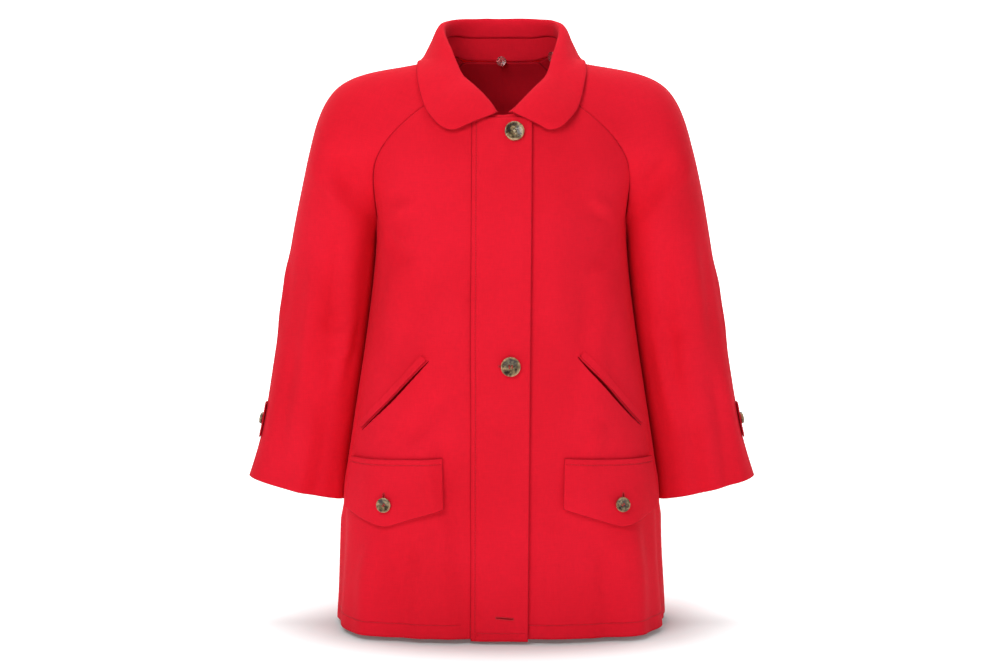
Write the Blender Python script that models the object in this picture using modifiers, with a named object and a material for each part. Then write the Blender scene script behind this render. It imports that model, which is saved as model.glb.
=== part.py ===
# A red raglan car coat with a shirt collar, a fly placket, slanted pockets and pointed pocket flaps.
# It keeps the hollow form that it has when worn, with nobody in it.
# Metres, +Z up. The front faces -Y and the wearer's left is at +X.
# The origin is the middle of the neck at the height of the back neck seam.
import functools
import math

import bmesh
import bpy
import numpy as np
from mathutils import Matrix, Vector
from mathutils.bvhtree import BVHTree

# ---------------------------------------------------------------- driving dimensions
HEM_Z = -0.728
UNDERARM_Z = -0.216
CLOTH = 0.002
PLACKET_CLOTH = 0.0026
FLAP_CLOTH = 0.0022
SEAM_GAP = 0.0003
OVERLAY_GAP = 0.0005
NECK_GAP = 0.0006

FRONT_NECK_Z = -0.068
BACK_NECK_Z = -0.002
FRONT_NECK_DIP = 2.0

# Rows of the yoke above the underarm: where the sleeve leaves its seam straight out to the side,
# over how many rows it then comes to leave it smoothly, and up to where its edge stands off the body.
OUT_ROW = 1.6
OUT_DIRECTION = (0.94, 0.14, 0.32)
SMOOTH_FROM_ROW = 2
SMOOTH_OVER_ROWS = 4.0
STAND_OFF_ROW = 5.2

# Where folds die out: towards the side seam (as a share of the way round), below the underarm
# and beside the placket (as a start and a length), and towards a sleeve's seams.
SIDE_CALM = 0.10
UNDERARM_CALM = (0.06, 0.12)
PLACKET_CALM = (0.045, 0.02)
SLEEVE_CALM = (0.20, 0.15)

# A sleeve laid flat: the width for each share of the way round, and the length for each share along.
SLEEVE_FLAT = (0.16, 0.40)

PLACKET_TOP_Z = -0.0720
PLACKET_BOTTOM_Z = -0.7305
PLACKET_LIFT = 0.0033
PLACKET_EDGE_LIFT = 0.0012
PLACKET_RAMP = 0.010
LEFT_FRONT_EDGE_X = -0.020

NEAR = 0.03

COLLAR_ROLL = 0.0065
COLLAR_FRONT_ROLL = 0.55
COLLAR_CLEARANCE = 0.0012
FALL_SHARES = (0.30, 0.68)
STAND_SHARE = 0.56
STAND_END = 0.93
STAND_GAP = 0.0009

FLAP_WIDTH = 0.150
FLAP_SIDE = 0.064
FLAP_POINT = 0.086
FLAP_TOP_Z = -0.4980
FLAP_SLOPE = 0.008
FLAP_CLEARANCE = 0.0007
FLAP_LIFT = 0.0022

WELT_WIDTH = 0.009
WELT_HEIGHT = 0.0016
WELT_GAP = 0.0006
SLIT_LENGTH = 0.106
SLIT_WIDTH = 0.0038
SLIT_CUTTER_Y = (-0.20, 0.16)

TAB_WIDTH = 0.046
TAB_CLEARANCE = 0.0007
TAB_CLOTH = 0.0022
TAB_MIDDLE = 0.205
TAB_FRONT_END = 0.955
TAB_BACK_END = 1.56
TAB_BUTTON_AROUND = 1.06
TAB_BUTTON_LIFT = 0.0005

BODY_ROWS = 15
YOKE_ROWS = 11
SLEEVE_ROWS = 12
FRONT_COLUMNS = 12
BACK_COLUMNS = 18
SLEEVE_COLUMNS = 8
COLLAR_COLUMNS = 25
COLLAR_CROWDING = 1.15
ROUND_SIDES = 16


# ---------------------------------------------------------------- tables and curves through them
def table(names, rows):
    """Columns by name; the first column is what the others are read against, in rising order."""
    values = np.array(rows, dtype=float)
    return {name: values[:, i] for i, name in enumerate(names.split())}


def read(columns, key, name, at):
    """A smooth curve through one column of a table."""
    xs, ys = columns[key], columns[name]
    slopes = np.gradient(ys, xs)
    at = np.clip(at, xs[0], xs[-1])
    i = np.clip(np.searchsorted(xs, at) - 1, 0, len(xs) - 2)
    step = xs[i + 1] - xs[i]
    t = (at - xs[i]) / step
    start = (1 + 2 * t) * (1 - t) ** 2 * ys[i] + t * t * (3 - 2 * t) * ys[i + 1]
    return start + step * t * (1 - t) * ((1 - t) * slopes[i] - t * slopes[i + 1])


# Level sections of the body: half width, depth to front and back, and how square each is.
BODY = table("z half front back square_front square_back", [
    (-0.735, 0.2125, 0.151, 0.150, 3.7, 3.0),
    (-0.640, 0.2072, 0.148, 0.148, 3.5, 2.9),
    (-0.560, 0.2045, 0.146, 0.144, 3.3, 2.8),
    (-0.460, 0.1905, 0.143, 0.138, 3.1, 2.7),
    (-0.380, 0.1780, 0.141, 0.133, 2.9, 2.6),
    (-0.310, 0.1685, 0.138, 0.130, 2.8, 2.6),
    (-0.216, 0.1605, 0.134, 0.129, 2.6, 2.6),
    (-0.193, 0.1620, 0.131, 0.129, 2.6, 2.6),
    (-0.160, 0.1720, 0.128, 0.128, 2.6, 2.6),
    (-0.130, 0.1800, 0.1235, 0.126, 2.6, 2.6),
    (-0.108, 0.1840, 0.119, 0.122, 2.5, 2.5),
    (-0.080, 0.1840, 0.110, 0.115, 2.5, 2.5),
    (-0.055, 0.1820, 0.0965, 0.106, 2.4, 2.4),
    (-0.028, 0.1740, 0.0790, 0.094, 2.4, 2.4),
    (0.000, 0.1600, 0.0640, 0.070, 2.4, 2.4),
])

# The raglan yoke from underarm (0) to neck (9): front seam, back seam and the line over the arm,
# and how far the cloth runs straight on from the seam and from that line before it turns.
YOKE = table("row front_x front_z back_x back_z over_x over_z from_seam from_over", [
    (0, 0.1605, -0.2160, 0.1605, -0.2160, 0.2565, -0.1500, 0.096, 0.096),
    (0.5, 0.1601, -0.2115, 0.1601, -0.2115, 0.2540, -0.1380, 0.074, 0.096),
    (1, 0.1587, -0.1980, 0.1587, -0.1970, 0.2510, -0.1260, 0.054, 0.096),
    (2, 0.1645, -0.1600, 0.1630, -0.1580, 0.2448, -0.1020, 0.042, 0.094),
    (3, 0.1620, -0.1300, 0.1600, -0.1300, 0.2393, -0.0815, 0.040, 0.088),
    (4, 0.1505, -0.1075, 0.1470, -0.1050, 0.2288, -0.0550, 0.041, 0.077),
    (5, 0.1350, -0.0880, 0.1300, -0.0820, 0.2108, -0.0320, 0.044, 0.066),
    (6, 0.1160, -0.0705, 0.1100, -0.0600, 0.1830, -0.0186, 0.045, 0.058),
    (7, 0.0960, -0.0550, 0.0890, -0.0400, 0.1490, -0.0114, 0.042, 0.050),
    (8, 0.0760, -0.0410, 0.0690, -0.0210, 0.1160, -0.0066, 0.036, 0.042),
    (9, 0.0580, -0.0290, 0.0500, -0.0020, 0.0850, 0.0000, 0.029, 0.033),
])

# The sleeve from cuff (0) to underarm (1): the inner and outer line and the depth each way.
SLEEVE = table("along inner_x inner_z outer_x outer_z front back", [
    (0.00, 0.2060, -0.5725, 0.3322, -0.5425, 0.040, 0.042),
    (0.15, 0.2008, -0.5220, 0.3160, -0.4900, 0.042, 0.045),
    (0.30, 0.1927, -0.4650, 0.3045, -0.4300, 0.045, 0.047),
    (0.46, 0.1828, -0.4030, 0.2940, -0.3640, 0.049, 0.051),
    (0.62, 0.1745, -0.3430, 0.2834, -0.3000, 0.054, 0.056),
    (0.78, 0.1676, -0.2870, 0.2732, -0.2380, 0.060, 0.062),
    (0.90, 0.1641, -0.2450, 0.2645, -0.1880, 0.067, 0.068),
    (1.00, 0.1605, -0.2160, 0.2565, -0.1500, 0.072, 0.072),
])

# The collar from the middle of the back (0) to the centre front (1): the fold line that the
# collar rolls over, and its outer edge.
COLLAR = table("around roll_x roll_y roll_z edge_x edge_y edge_z bulge left_open", [
    (0.00, 0.000, 0.078, 0.053, 0.000, 0.116, -0.020, 0.0045, 0.0000),
    (0.10, 0.028, 0.075, 0.053, 0.040, 0.111, -0.020, 0.0045, 0.0000),
    (0.20, 0.052, 0.064, 0.052, 0.072, 0.094, -0.018, 0.0040, 0.0000),
    (0.30, 0.067, 0.047, 0.050, 0.0935, 0.066, -0.012, 0.0020, 0.0000),
    (0.40, 0.0735, 0.026, 0.046, 0.1010, 0.036, -0.004, 0.0000, 0.0000),
    (0.50, 0.0750, 0.006, 0.039, 0.1035, 0.006, -0.004, 0.0000, 0.0010),
    (0.60, 0.0710, -0.015, 0.027, 0.1050, -0.022, -0.017, 0.0010, 0.0025),
    (0.68, 0.0645, -0.034, 0.014, 0.1045, -0.050, -0.032, 0.0025, 0.0048),
    (0.76, 0.057, -0.053, -0.005, 0.1005, -0.076, -0.047, 0.0040, 0.0072),
    (0.83, 0.049, -0.068, -0.020, 0.0950, -0.096, -0.062, 0.0045, 0.0094),
    (0.89, 0.036, -0.082, -0.031, 0.0865, -0.108, -0.072, 0.0045, 0.0108),
    (0.94, 0.0205, -0.094, -0.046, 0.0780, -0.114, -0.081, 0.0045, 0.0110),
    (0.97, 0.0115, -0.099, -0.057, 0.070, -0.116, -0.0855, 0.0045, 0.0095),
    (1.00, 0.0070, -0.103, -0.0655, 0.059, -0.115, -0.086, 0.0045, 0.0080),
])

# The placket's two edges, at the neck and at the hem.
PLACKET = table("z seam_x free_x", [
    (PLACKET_BOTTOM_Z, -0.0395, 0.0335),
    (PLACKET_TOP_Z, -0.0372, 0.0385),
])

# Soft folds on the body: where each starts and ends (arm side positive, measured round from the
# centre front, so the back is past 0.24), its reach to each side and its height.
FOLDS = table("number side from_round from_z to_round to_z reach height", [
    (0, -1, 0.175, -0.190, 0.085, -0.420, 0.020, 0.0030),
    (1, -1, 0.120, -0.330, 0.075, -0.690, 0.016, 0.0026),
    (2, -1, 0.085, -0.420, 0.058, -0.720, 0.012, -0.0022),
    (3, -1, 0.160, -0.560, 0.150, -0.740, 0.015, 0.0032),
    (4, -1, 0.210, -0.280, 0.200, -0.600, 0.016, -0.0024),
    (5, -1, 0.105, -0.600, 0.100, -0.750, 0.012, 0.0022),
    (6, 1, 0.180, -0.190, 0.110, -0.470, 0.020, 0.0026),
    (7, 1, 0.070, -0.300, 0.075, -0.690, 0.015, -0.0020),
    (8, 1, 0.110, -0.540, 0.100, -0.740, 0.014, 0.0026),
    (9, 1, 0.165, -0.580, 0.170, -0.750, 0.016, 0.0030),
    (10, 1, 0.215, -0.300, 0.205, -0.620, 0.016, -0.0024),
    (11, -1, 0.440, -0.220, 0.460, -0.740, 0.022, 0.0045),
    (12, -1, 0.380, -0.300, 0.385, -0.720, 0.018, -0.0035),
    (13, 1, 0.450, -0.240, 0.455, -0.740, 0.020, 0.0040),
    (14, 1, 0.370, -0.200, 0.390, -0.700, 0.020, -0.0040),
    (15, 1, 0.320, -0.420, 0.325, -0.750, 0.016, 0.0035),
    (16, -1, 0.315, -0.460, 0.320, -0.750, 0.015, 0.0030),
])

# Soft folds on each sleeve: around from the underarm seam (0) over the front to the outer line (1)
# and back (2), and along from the cuff (0) to the underarm (1) and neck (2).
SLEEVE_FOLDS = table("number side from_around from_along to_around to_along reach height", [
    (0, -1, 0.30, 1.02, 0.62, 0.25, 0.016, 0.0035),
    (1, -1, 0.62, 1.05, 0.80, 0.45, 0.014, -0.0025),
    (2, -1, 0.22, 0.62, 0.48, 0.02, 0.014, 0.0030),
    (3, -1, 1.35, 0.95, 1.55, 0.30, 0.016, 0.0035),
    (4, -1, 1.65, 1.05, 1.45, 0.60, 0.014, -0.0030),
    (5, 1, 0.28, 1.05, 0.55, 0.35, 0.016, 0.0032),
    (6, 1, 0.60, 0.90, 0.72, 0.20, 0.014, -0.0024),
    (7, 1, 0.30, 0.50, 0.45, -0.02, 0.013, 0.0030),
    (8, 1, 1.40, 1.00, 1.50, 0.35, 0.016, 0.0034),
    (9, 1, 1.70, 0.80, 1.50, 0.20, 0.013, -0.0028),
])

# Buttons: radius and thickness; the hood's buttons are smaller.
LARGE_BUTTON = (0.0121, 0.0040)
FLAP_BUTTON = (0.0092, 0.0036)
TAB_BUTTON = (0.0078, 0.0034)
HOOD_BUTTON = (0.0064, 0.0028)
BUTTON_CLEARANCE = 0.0006
PLACKET_BUTTON_LIFT = PLACKET_LIFT + PLACKET_EDGE_LIFT * 0.6
PLACKET_BUTTONS = table("number x z", [(1, 0.0164, -0.0895), (2, 0.0118, -0.3815)])
HOOD_BUTTONS = {
    "centre": {"side": 1, "around": 0.0, "share": 0.01},
    "left": {"side": 1, "around": 0.26, "share": -0.02},
    "right": {"side": -1, "around": 0.29, "share": -0.02},
}
FLAP_BUTTON_DROP = 0.0570
WELTS = table("side inner_x inner_z outer_x outer_z", [
    (-1, 0.0910, -0.3760, 0.1790, -0.4710),
    (1, 0.0975, -0.3710, 0.1790, -0.4650),
])
FLAPS = table("side middle_x", [(-1, 0.1460), (1, 0.1510)])


# ---------------------------------------------------------------- the body's form
@functools.lru_cache(maxsize=None)
def quarter(z, facing):
    """Points of one quarter of a level section, from the centre line round to the side."""
    half = read(BODY, "z", "half", z)
    depth = read(BODY, "z", facing, z)
    square = read(BODY, "z", "square_" + facing, z)
    turn = np.linspace(0, math.pi / 2, 241)
    x = half * np.sin(turn) ** (2 / square)
    y = depth * np.cos(turn) ** (2 / square)
    reach = np.concatenate([[0], np.cumsum(np.hypot(np.diff(x), np.diff(y)))])
    return x, y, reach


def share_at(x_wanted, z, facing):
    """How far round its quarter, from 0 to 1, the section passes this distance from the middle."""
    x, _, reach = quarter(float(z), facing)
    return float(np.sign(x_wanted) * np.interp(abs(x_wanted), x, reach) / reach[-1])


def fade(value, edge):
    """0 at and below zero, rising smoothly to 1 at this edge."""
    t = np.clip(value / edge, 0, 1)
    return float(t * t * (3 - 2 * t))


def fold_height(folds, side, place, start, end, flat=(1.0, 1.0)):
    """The height of all soft folds of this side at a place on the flat pattern."""
    total = 0.0
    for i, fold_side in enumerate(folds["side"]):
        if fold_side != side:
            continue
        a = np.array([folds[start[0]][i], folds[start[1]][i]]) * flat
        b = np.array([folds[end[0]][i], folds[end[1]][i]]) * flat
        total += bump(place, a, b, folds["reach"][i], folds["height"][i])
    return total


def bump(place, a, b, reach, height):
    """A smooth ridge (or a trough) along the line from a to b, dying out past its ends."""
    line = b - a
    length = np.linalg.norm(line)
    along = float(np.dot(place - a, line)) / length
    off = place - a - along * line / length
    out = max(-along, along - length, 0.0)
    return height * math.exp(-float(np.dot(off, off)) / reach ** 2 - (out / (2 * reach)) ** 2)


def body_base(round_share, z):
    """The outer face of the cloth: 0 is the centre front, 1 the side seam and 2 the centre back."""
    if abs(round_share) > 2:
        round_share -= math.copysign(4, round_share)
    side = -1 if round_share < 0 else 1
    share = abs(round_share)
    facing = "front" if share <= 1 else "back"
    x, y, reach = quarter(float(z), facing)
    at = (share if share <= 1 else 2 - share) * reach[-1]
    y_sign = -1 if facing == "front" else 1
    where = np.array([side * np.interp(at, reach, x), y_sign * np.interp(at, reach, y), z])
    distance = at if share <= 1 else 2 * reach[-1] - at
    return where, side, distance


def body_point(round_share, z):
    """The outer face with its folds."""
    where, side, distance = body_base(round_share, z)
    share = abs(round_share)
    calm = fade(abs(1 - share), SIDE_CALM) * fade(UNDERARM_Z + UNDERARM_CALM[0] - z, UNDERARM_CALM[1])
    calm *= fade(distance - PLACKET_CALM[0], PLACKET_CALM[1])
    if calm == 0:
        return where
    height = calm * fold_height(FOLDS, side, np.array([distance, z]),
                                ("from_round", "from_z"), ("to_round", "to_z"))
    step = 0.004
    a = body_base(round_share - step, z)[0]
    b = body_base(round_share + step, z)[0]
    outward = np.array([b[1] - a[1], a[0] - b[0], 0.0])
    outward /= np.linalg.norm(outward)
    if np.dot(outward[:2], where[:2]) < 0:
        outward = -outward
    return where + height * outward


def unit(vector):
    return vector / max(np.linalg.norm(vector), 1e-12)


def body_normal(round_share, z):
    step = 0.01
    drop = 0.002
    across = body_point(round_share + step, z) - body_point(round_share - step, z)
    up = body_point(round_share, z + drop) - body_point(round_share, z - drop)
    normal = unit(np.cross(across, up))
    if abs(round_share) < 1:
        return normal if normal[1] < 0 or abs(normal[0]) > 0.5 else -normal
    return normal if np.dot(normal, body_point(round_share, z) - [0, 0, z]) > 0 else -normal


# ---------------------------------------------------------------- the sleeve's form (wearer's left)
def seam_point(row, facing):
    """A point of the raglan seam, which lies on the body's outer face."""
    x = float(read(YOKE, "row", facing + "_x", row))
    z = float(read(YOKE, "row", facing + "_z", row))
    share = share_at(x, z, facing)
    round_share = share if facing == "front" else 2 - share
    return round_share, z


def over_point(row):
    """A point of the overarm seam between shoulder and neck."""
    return np.array([read(YOKE, "row", "over_x", row), 0.0, read(YOKE, "row", "over_z", row)])


def bezier(a, b, c, d, t):
    s = 1 - t
    return s ** 3 * a + 3 * s * s * t * b + 3 * s * t * t * c + t ** 3 * d


def yoke_half(row, facing, t):
    """The cloth from the raglan seam (t = 0) to the overarm seam (t = 1)."""
    sign = -1 if facing == "front" else 1
    round_share, z = seam_point(row, facing)
    seam = body_base(round_share, z)[0]
    over = over_point(row)
    normal = unit(np.cross(body_base(round_share + 0.01, z)[0] - body_base(round_share - 0.01, z)[0],
                           body_base(round_share, z + 0.002)[0] - body_base(round_share, z - 0.002)[0]))
    chord = over - seam
    smooth = unit(chord - np.dot(chord, normal) * normal)
    back = np.array([0.0, sign, 0.0])
    out = np.array(OUT_DIRECTION) * [1, sign, 1]
    blend = fade(row - SMOOTH_FROM_ROW, SMOOTH_OVER_ROWS)
    leave = unit((1 - fade(row, OUT_ROW)) * back + fade(row, OUT_ROW) * ((1 - blend) * out + blend * smooth))
    from_seam = float(read(YOKE, "row", "from_seam", row))
    from_over = float(read(YOKE, "row", "from_over", row))
    turn = np.array([0.0, sign, 0.0])
    return bezier(seam, seam + from_seam * leave, over + from_over * turn, over, t)


def cuff_half(along, facing, t):
    """A ring of the sleeve below the underarm, from its inner line (t = 0) to its outer line (t = 1)."""
    sign = -1 if facing == "front" else 1
    inner = np.array([read(SLEEVE, "along", "inner_x", along), 0.0, read(SLEEVE, "along", "inner_z", along)])
    outer = np.array([read(SLEEVE, "along", "outer_x", along), 0.0, read(SLEEVE, "along", "outer_z", along)])
    depth = float(read(SLEEVE, "along", facing, along)) * 4 / 3
    turn = np.array([0.0, sign * depth, 0.0])
    return bezier(inner, inner + turn, outer + turn, outer, t)


def sleeve_base(around, along):
    """The sleeve's outer face. Around: 0 inner seam, 1 overarm seam, 2 inner seam again."""
    facing = "front" if around <= 1 else "back"
    t = around if around <= 1 else 2 - around
    if along <= 1:
        return cuff_half(along, facing, t)
    return yoke_half((along - 1) * 9, facing, t)


def sleeve_normal_base(around, along):
    step = 0.02
    low = around - step
    high = around + step
    if along < 1:
        low %= 2
        high %= 2
    else:
        low = max(low, 0)
        high = min(high, 2)
    lift = 0.02
    across = sleeve_base(high, along) - sleeve_base(low, along)
    up = sleeve_base(around, min(along + lift, 2)) - sleeve_base(around, max(along - lift, 0))
    return unit(np.cross(across, up))


def sleeve_point(around, along, side):
    """The outer face with its folds, for one side of the body."""
    where = sleeve_base(around, along)
    edge = min(around, 2 - around)
    calm = fade(edge, SLEEVE_CALM[0]) * fade(abs(around - 1), SLEEVE_CALM[1])
    if calm > 0:
        place_flat = np.array([around, along]) * SLEEVE_FLAT
        height = fold_height(SLEEVE_FOLDS, side, place_flat, ("from_around", "from_along"),
                             ("to_around", "to_along"), SLEEVE_FLAT)
        where = where + calm * height * sleeve_normal_base(around, along)
    return where


# ---------------------------------------------------------------- walls of cloth
def pull_back(points, edges, gap):
    """Moves the named edges of a grid inwards, so that a seam keeps its gap."""
    moved = points.copy()
    pairs = {"left": (np.s_[:, 0], np.s_[:, 1]), "right": (np.s_[:, -1], np.s_[:, -2]),
             "bottom": (np.s_[0], np.s_[1]), "top": (np.s_[-1], np.s_[-2])}
    for edge in edges:
        outer, inner = pairs[edge]
        step = points[inner] - points[outer]
        length = np.linalg.norm(step, axis=-1, keepdims=True)
        moved[outer] = moved[outer] + gap * step / length
    return moved


def cloth_wall(name, outer, inner, material, closed=False):
    """A wall between two grids of points: the loft of unlike sections that no modifier makes."""
    rows, columns = outer.shape[:2]
    mesh = bpy.data.meshes.new(name)
    bm = bmesh.new()
    faces_of = []
    for grid in (outer, inner):
        faces_of.append([[bm.verts.new(grid[r, c]) for c in range(columns)] for r in range(rows)])
    out, ins = faces_of
    wrap = columns if closed else columns - 1
    for r in range(rows - 1):
        for c in range(wrap):
            d = (c + 1) % columns
            bm.faces.new((out[r][c], out[r][d], out[r + 1][d], out[r + 1][c]))
            bm.faces.new((ins[r][c], ins[r + 1][c], ins[r + 1][d], ins[r][d]))
    for c in range(wrap):
        d = (c + 1) % columns
        bm.faces.new((out[0][c], ins[0][c], ins[0][d], out[0][d]))
        bm.faces.new((out[-1][c], out[-1][d], ins[-1][d], ins[-1][c]))
    if not closed:
        for r in range(rows - 1):
            bm.faces.new((out[r][0], out[r + 1][0], ins[r + 1][0], ins[r][0]))
            bm.faces.new((out[r][-1], ins[r][-1], ins[r + 1][-1], out[r + 1][-1]))
    bmesh.ops.recalc_face_normals(bm, faces=bm.faces)
    bmesh.ops.triangulate(bm, faces=bm.faces)
    bm.to_mesh(mesh)
    bm.free()
    mesh.shade_smooth()
    mesh.set_sharp_from_angle(angle=math.radians(50))
    return place(bpy.data.objects.new(name, mesh), material)


def place(obj, material):
    part_collection.objects.link(obj)
    obj.data.materials.append(material)
    return obj


def make_material(name, color, roughness):
    material = bpy.data.materials.new(name)
    material.use_nodes = True
    shader = material.node_tree.nodes["Principled BSDF"]
    shader.inputs["Base Color"].default_value = (*color, 1)
    shader.inputs["Roughness"].default_value = roughness
    return material


def mirrored(points):
    """The same points on the other side of the body."""
    return points * np.array([-1, 1, 1])


def row_heights(part):
    """The rows of a body panel: level ones up to the underarm, then those of the yoke."""
    return np.linspace(HEM_Z, UNDERARM_Z, BODY_ROWS + 1)[:-1] if part == "lower" else \
        np.linspace(0, 9, YOKE_ROWS + 1)


def placket_seam(z):
    return -float(read(PLACKET, "z", "seam_x", z))


def left_front_edge(z):
    return LEFT_FRONT_EDGE_X


def back_middle(z):
    return 0.0


def body_grid(facing, start_x, side, columns):
    """Points and normals of a front (from start_x at each height) or of half the back, to the side."""
    points, normals = [], []
    rows = [(1.0, z, z) for z in row_heights("lower")]
    centre_top = FRONT_NECK_Z if facing == "front" else BACK_NECK_Z
    for row in row_heights("yoke"):
        round_share, z_side = seam_point(row, facing)
        end = round_share if facing == "front" else 2 - round_share
        z_centre = UNDERARM_Z + (centre_top - UNDERARM_Z) * row / 9
        rows.append((end, z_centre, z_side))
    for end, z_centre, z_side in rows:
        start = share_at(start_x(z_centre), z_centre, facing)
        z_start = z_centre + (z_side - z_centre) * abs(start / end) ** FRONT_NECK_DIP
        start = share_at(start_x(z_start), z_start, facing)
        line, line_normals = [], []
        for k in np.linspace(0, 1, columns + 1):
            share = start + (end - start) * k
            rise = min(abs(share / end), 1) ** FRONT_NECK_DIP
            z = z_centre + (z_side - z_centre) * rise
            round_share = share if facing == "front" else 2 - share
            mirror = share < 0
            point = body_point(side * abs(round_share), z)
            normal = body_normal(abs(round_share), z) * np.array([side, 1, 1])
            if mirror:
                point, normal = mirrored(point), mirrored(normal)
            line.append(point)
            line_normals.append(normal)
        points.append(line)
        normals.append(line_normals)
    return np.array(points), np.array(normals)


def grid_normals(points):
    """Normals of a grid whose rows and columns turn anticlockwise seen from outside."""
    across = np.gradient(points, axis=1)
    up = np.gradient(points, axis=0)
    normals = np.cross(across, up)
    return normals / np.linalg.norm(normals, axis=-1, keepdims=True)


def sleeve_grid(side):
    """Points and normals of one whole sleeve, all round, from cuff to neck."""
    alongs = np.concatenate([np.linspace(0, 1, SLEEVE_ROWS + 1)[:-1],
                             1 + np.linspace(0, 9, YOKE_ROWS + 1) / 9])
    arounds = np.linspace(0, 2, 2 * SLEEVE_COLUMNS + 1)
    points = np.array([[sleeve_point(a, v, side) for a in arounds] for v in alongs])
    normals = grid_normals(points)
    round_rows = SLEEVE_ROWS + 1
    ring = points[:round_rows]
    across = ring[:, 1] - ring[:, -2]
    up = np.gradient(points[:round_rows, 0], axis=0)
    joint = np.cross(across, up)
    joint /= np.linalg.norm(joint, axis=-1, keepdims=True)
    normals[:round_rows, 0] = joint
    normals[:round_rows, -1] = joint
    return points, normals


def join_yoke(body_normals, sleeve_points, sleeve_normals, edge, side):
    """One direction through the cloth for both sides of a raglan seam, where it lies smooth.
    Near the underarm, where the sleeve folds back over the body, its edge stands off instead."""
    first = SLEEVE_ROWS
    for i in range(YOKE_ROWS + 1):
        body = body_normals[i - YOKE_ROWS - 1, -1]
        here = body * np.array([side, 1, 1])
        row = first + i
        fold = 1 - fade(9 * i / YOKE_ROWS, STAND_OFF_ROW)
        sleeve_points[row, edge] += fold * 1.5 * SEAM_GAP * here
        if np.dot(here, sleeve_normals[row, edge]) > 0.5:
            both = unit(here + sleeve_normals[row, edge])
            body_normals[i - YOKE_ROWS - 1, -1] = both * np.array([side, 1, 1])
            sleeve_normals[row, edge] = both


def wall_of(name, points, normals, cloth, material, edges, closed=False, flip=False):
    outer = pull_back(points, edges, SEAM_GAP / 2)
    inner = outer - cloth * normals
    if flip:
        outer, inner = outer[:, ::-1], inner[:, ::-1]
    outer_faces[name] = outer
    return cloth_wall(name, outer, inner, material, closed)


# ---------------------------------------------------------------- panels
def build_panels(material):
    """Both fronts, the back and the four sleeve pieces. Gives back the neck's edge, half round."""
    panels = []
    sleeves = {side: sleeve_grid(side) for side in (-1, 1)}
    grids = {
        "front_right": (-1, *body_grid("front", placket_seam, -1, FRONT_COLUMNS)),
        "front_left": (1, *body_grid("front", left_front_edge, 1, FRONT_COLUMNS + 2)),
    }
    for name, (side, points, normals) in grids.items():
        join_yoke(normals, *sleeves[side], 0, side)
        edges = ("right", "left") if side < 0 else ("right",)
        panels.append(wall_of(name, points, normals, CLOTH, material, edges, flip=side < 0))
    halves = []
    for side in (-1, 1):
        points, normals = body_grid("back", back_middle, side, BACK_COLUMNS // 2)
        join_yoke(normals, *sleeves[side], -1, side)
        halves.append((pull_back(points, ("right",), SEAM_GAP / 2), normals))
    (right, right_normals), (left, left_normals) = halves
    points = np.concatenate([left[:, ::-1], right[:, 1:]], axis=1)
    normals = np.concatenate([left_normals[:, ::-1], right_normals[:, 1:]], axis=1)
    outer_faces["back"] = points
    panels.append(cloth_wall("back", points, points - CLOTH * normals, material))
    for side, word in ((-1, "right"), (1, "left")):
        sleeve_points, sleeve_normals = sleeves[side]
        for facing in ("front", "back"):
            part = np.s_[:, :SLEEVE_COLUMNS + 1] if facing == "front" else np.s_[:, SLEEVE_COLUMNS:]
            points, normals = sleeve_points[part], sleeve_normals[part]
            if side < 0:
                points, normals = mirrored(points), mirrored(normals)
            panels.append(wall_of(f"sleeve_{facing}_{word}", points, normals, CLOTH, material,
                                  ("left", "right"), flip=side < 0))
    return panels


def neck_edge(around):
    """The neck seam on the wearer's left, from the middle of the back (0) to the centre front (1)."""
    line = [body_base(2 - k * (2 - seam_point(9, "back")[0]), BACK_NECK_Z)[0] for k in np.linspace(0, 1, 13)]
    line += [yoke_half(9, "back", t) for t in np.linspace(0, 1, 17)[1:]]
    line += [yoke_half(9, "front", t) for t in np.linspace(1, 0, 17)[1:]]
    end, z_side = seam_point(9, "front")
    for k in np.linspace(1, 0, 13)[1:]:
        z = FRONT_NECK_Z + (z_side - FRONT_NECK_Z) * k ** FRONT_NECK_DIP
        line.append(body_base(end * k, z)[0])
    line = np.array(line)
    reach = np.concatenate([[0], np.cumsum(np.linalg.norm(np.diff(line, axis=0), axis=1))])
    at = around * reach[-1]
    return np.array([np.interp(at, reach, line[:, i]) for i in range(3)])


def collar_row(around, name, side=-1):
    """A point of the roll or of the edge, both as on the left; the left roll stands further open."""
    row = np.array([read(COLLAR, "around", f"{name}_{axis}", around) for axis in "xyz"])
    if name == "roll" and side > 0:
        row[0] += read(COLLAR, "around", "left_open", around)
    return row


def outward_at(roll):
    """Away from the middle of the neck, level."""
    return unit(np.array([roll[0], roll[1] - 0.005, 0.0]))


def smooth_line(corners, counts):
    """Points on a smooth curve through the corners, with this many steps in each stretch."""
    corners = np.array(corners)
    knots = np.concatenate([[0], np.cumsum(np.linalg.norm(np.diff(corners, axis=0), axis=1))])
    columns = {"at": knots, **{str(i): corners[:, i] for i in range(3)}}
    at = [knots[0]]
    for i, count in enumerate(counts):
        at += list(np.linspace(knots[i], knots[i + 1], count + 1)[1:])
    return np.array([[read(columns, "at", str(i), a) for i in range(3)] for a in at])


def collar_stations():
    """Places round the half collar, closer together near its front end."""
    return 1 - (1 - np.linspace(0, 1, COLLAR_COLUMNS)) ** COLLAR_CROWDING


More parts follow.
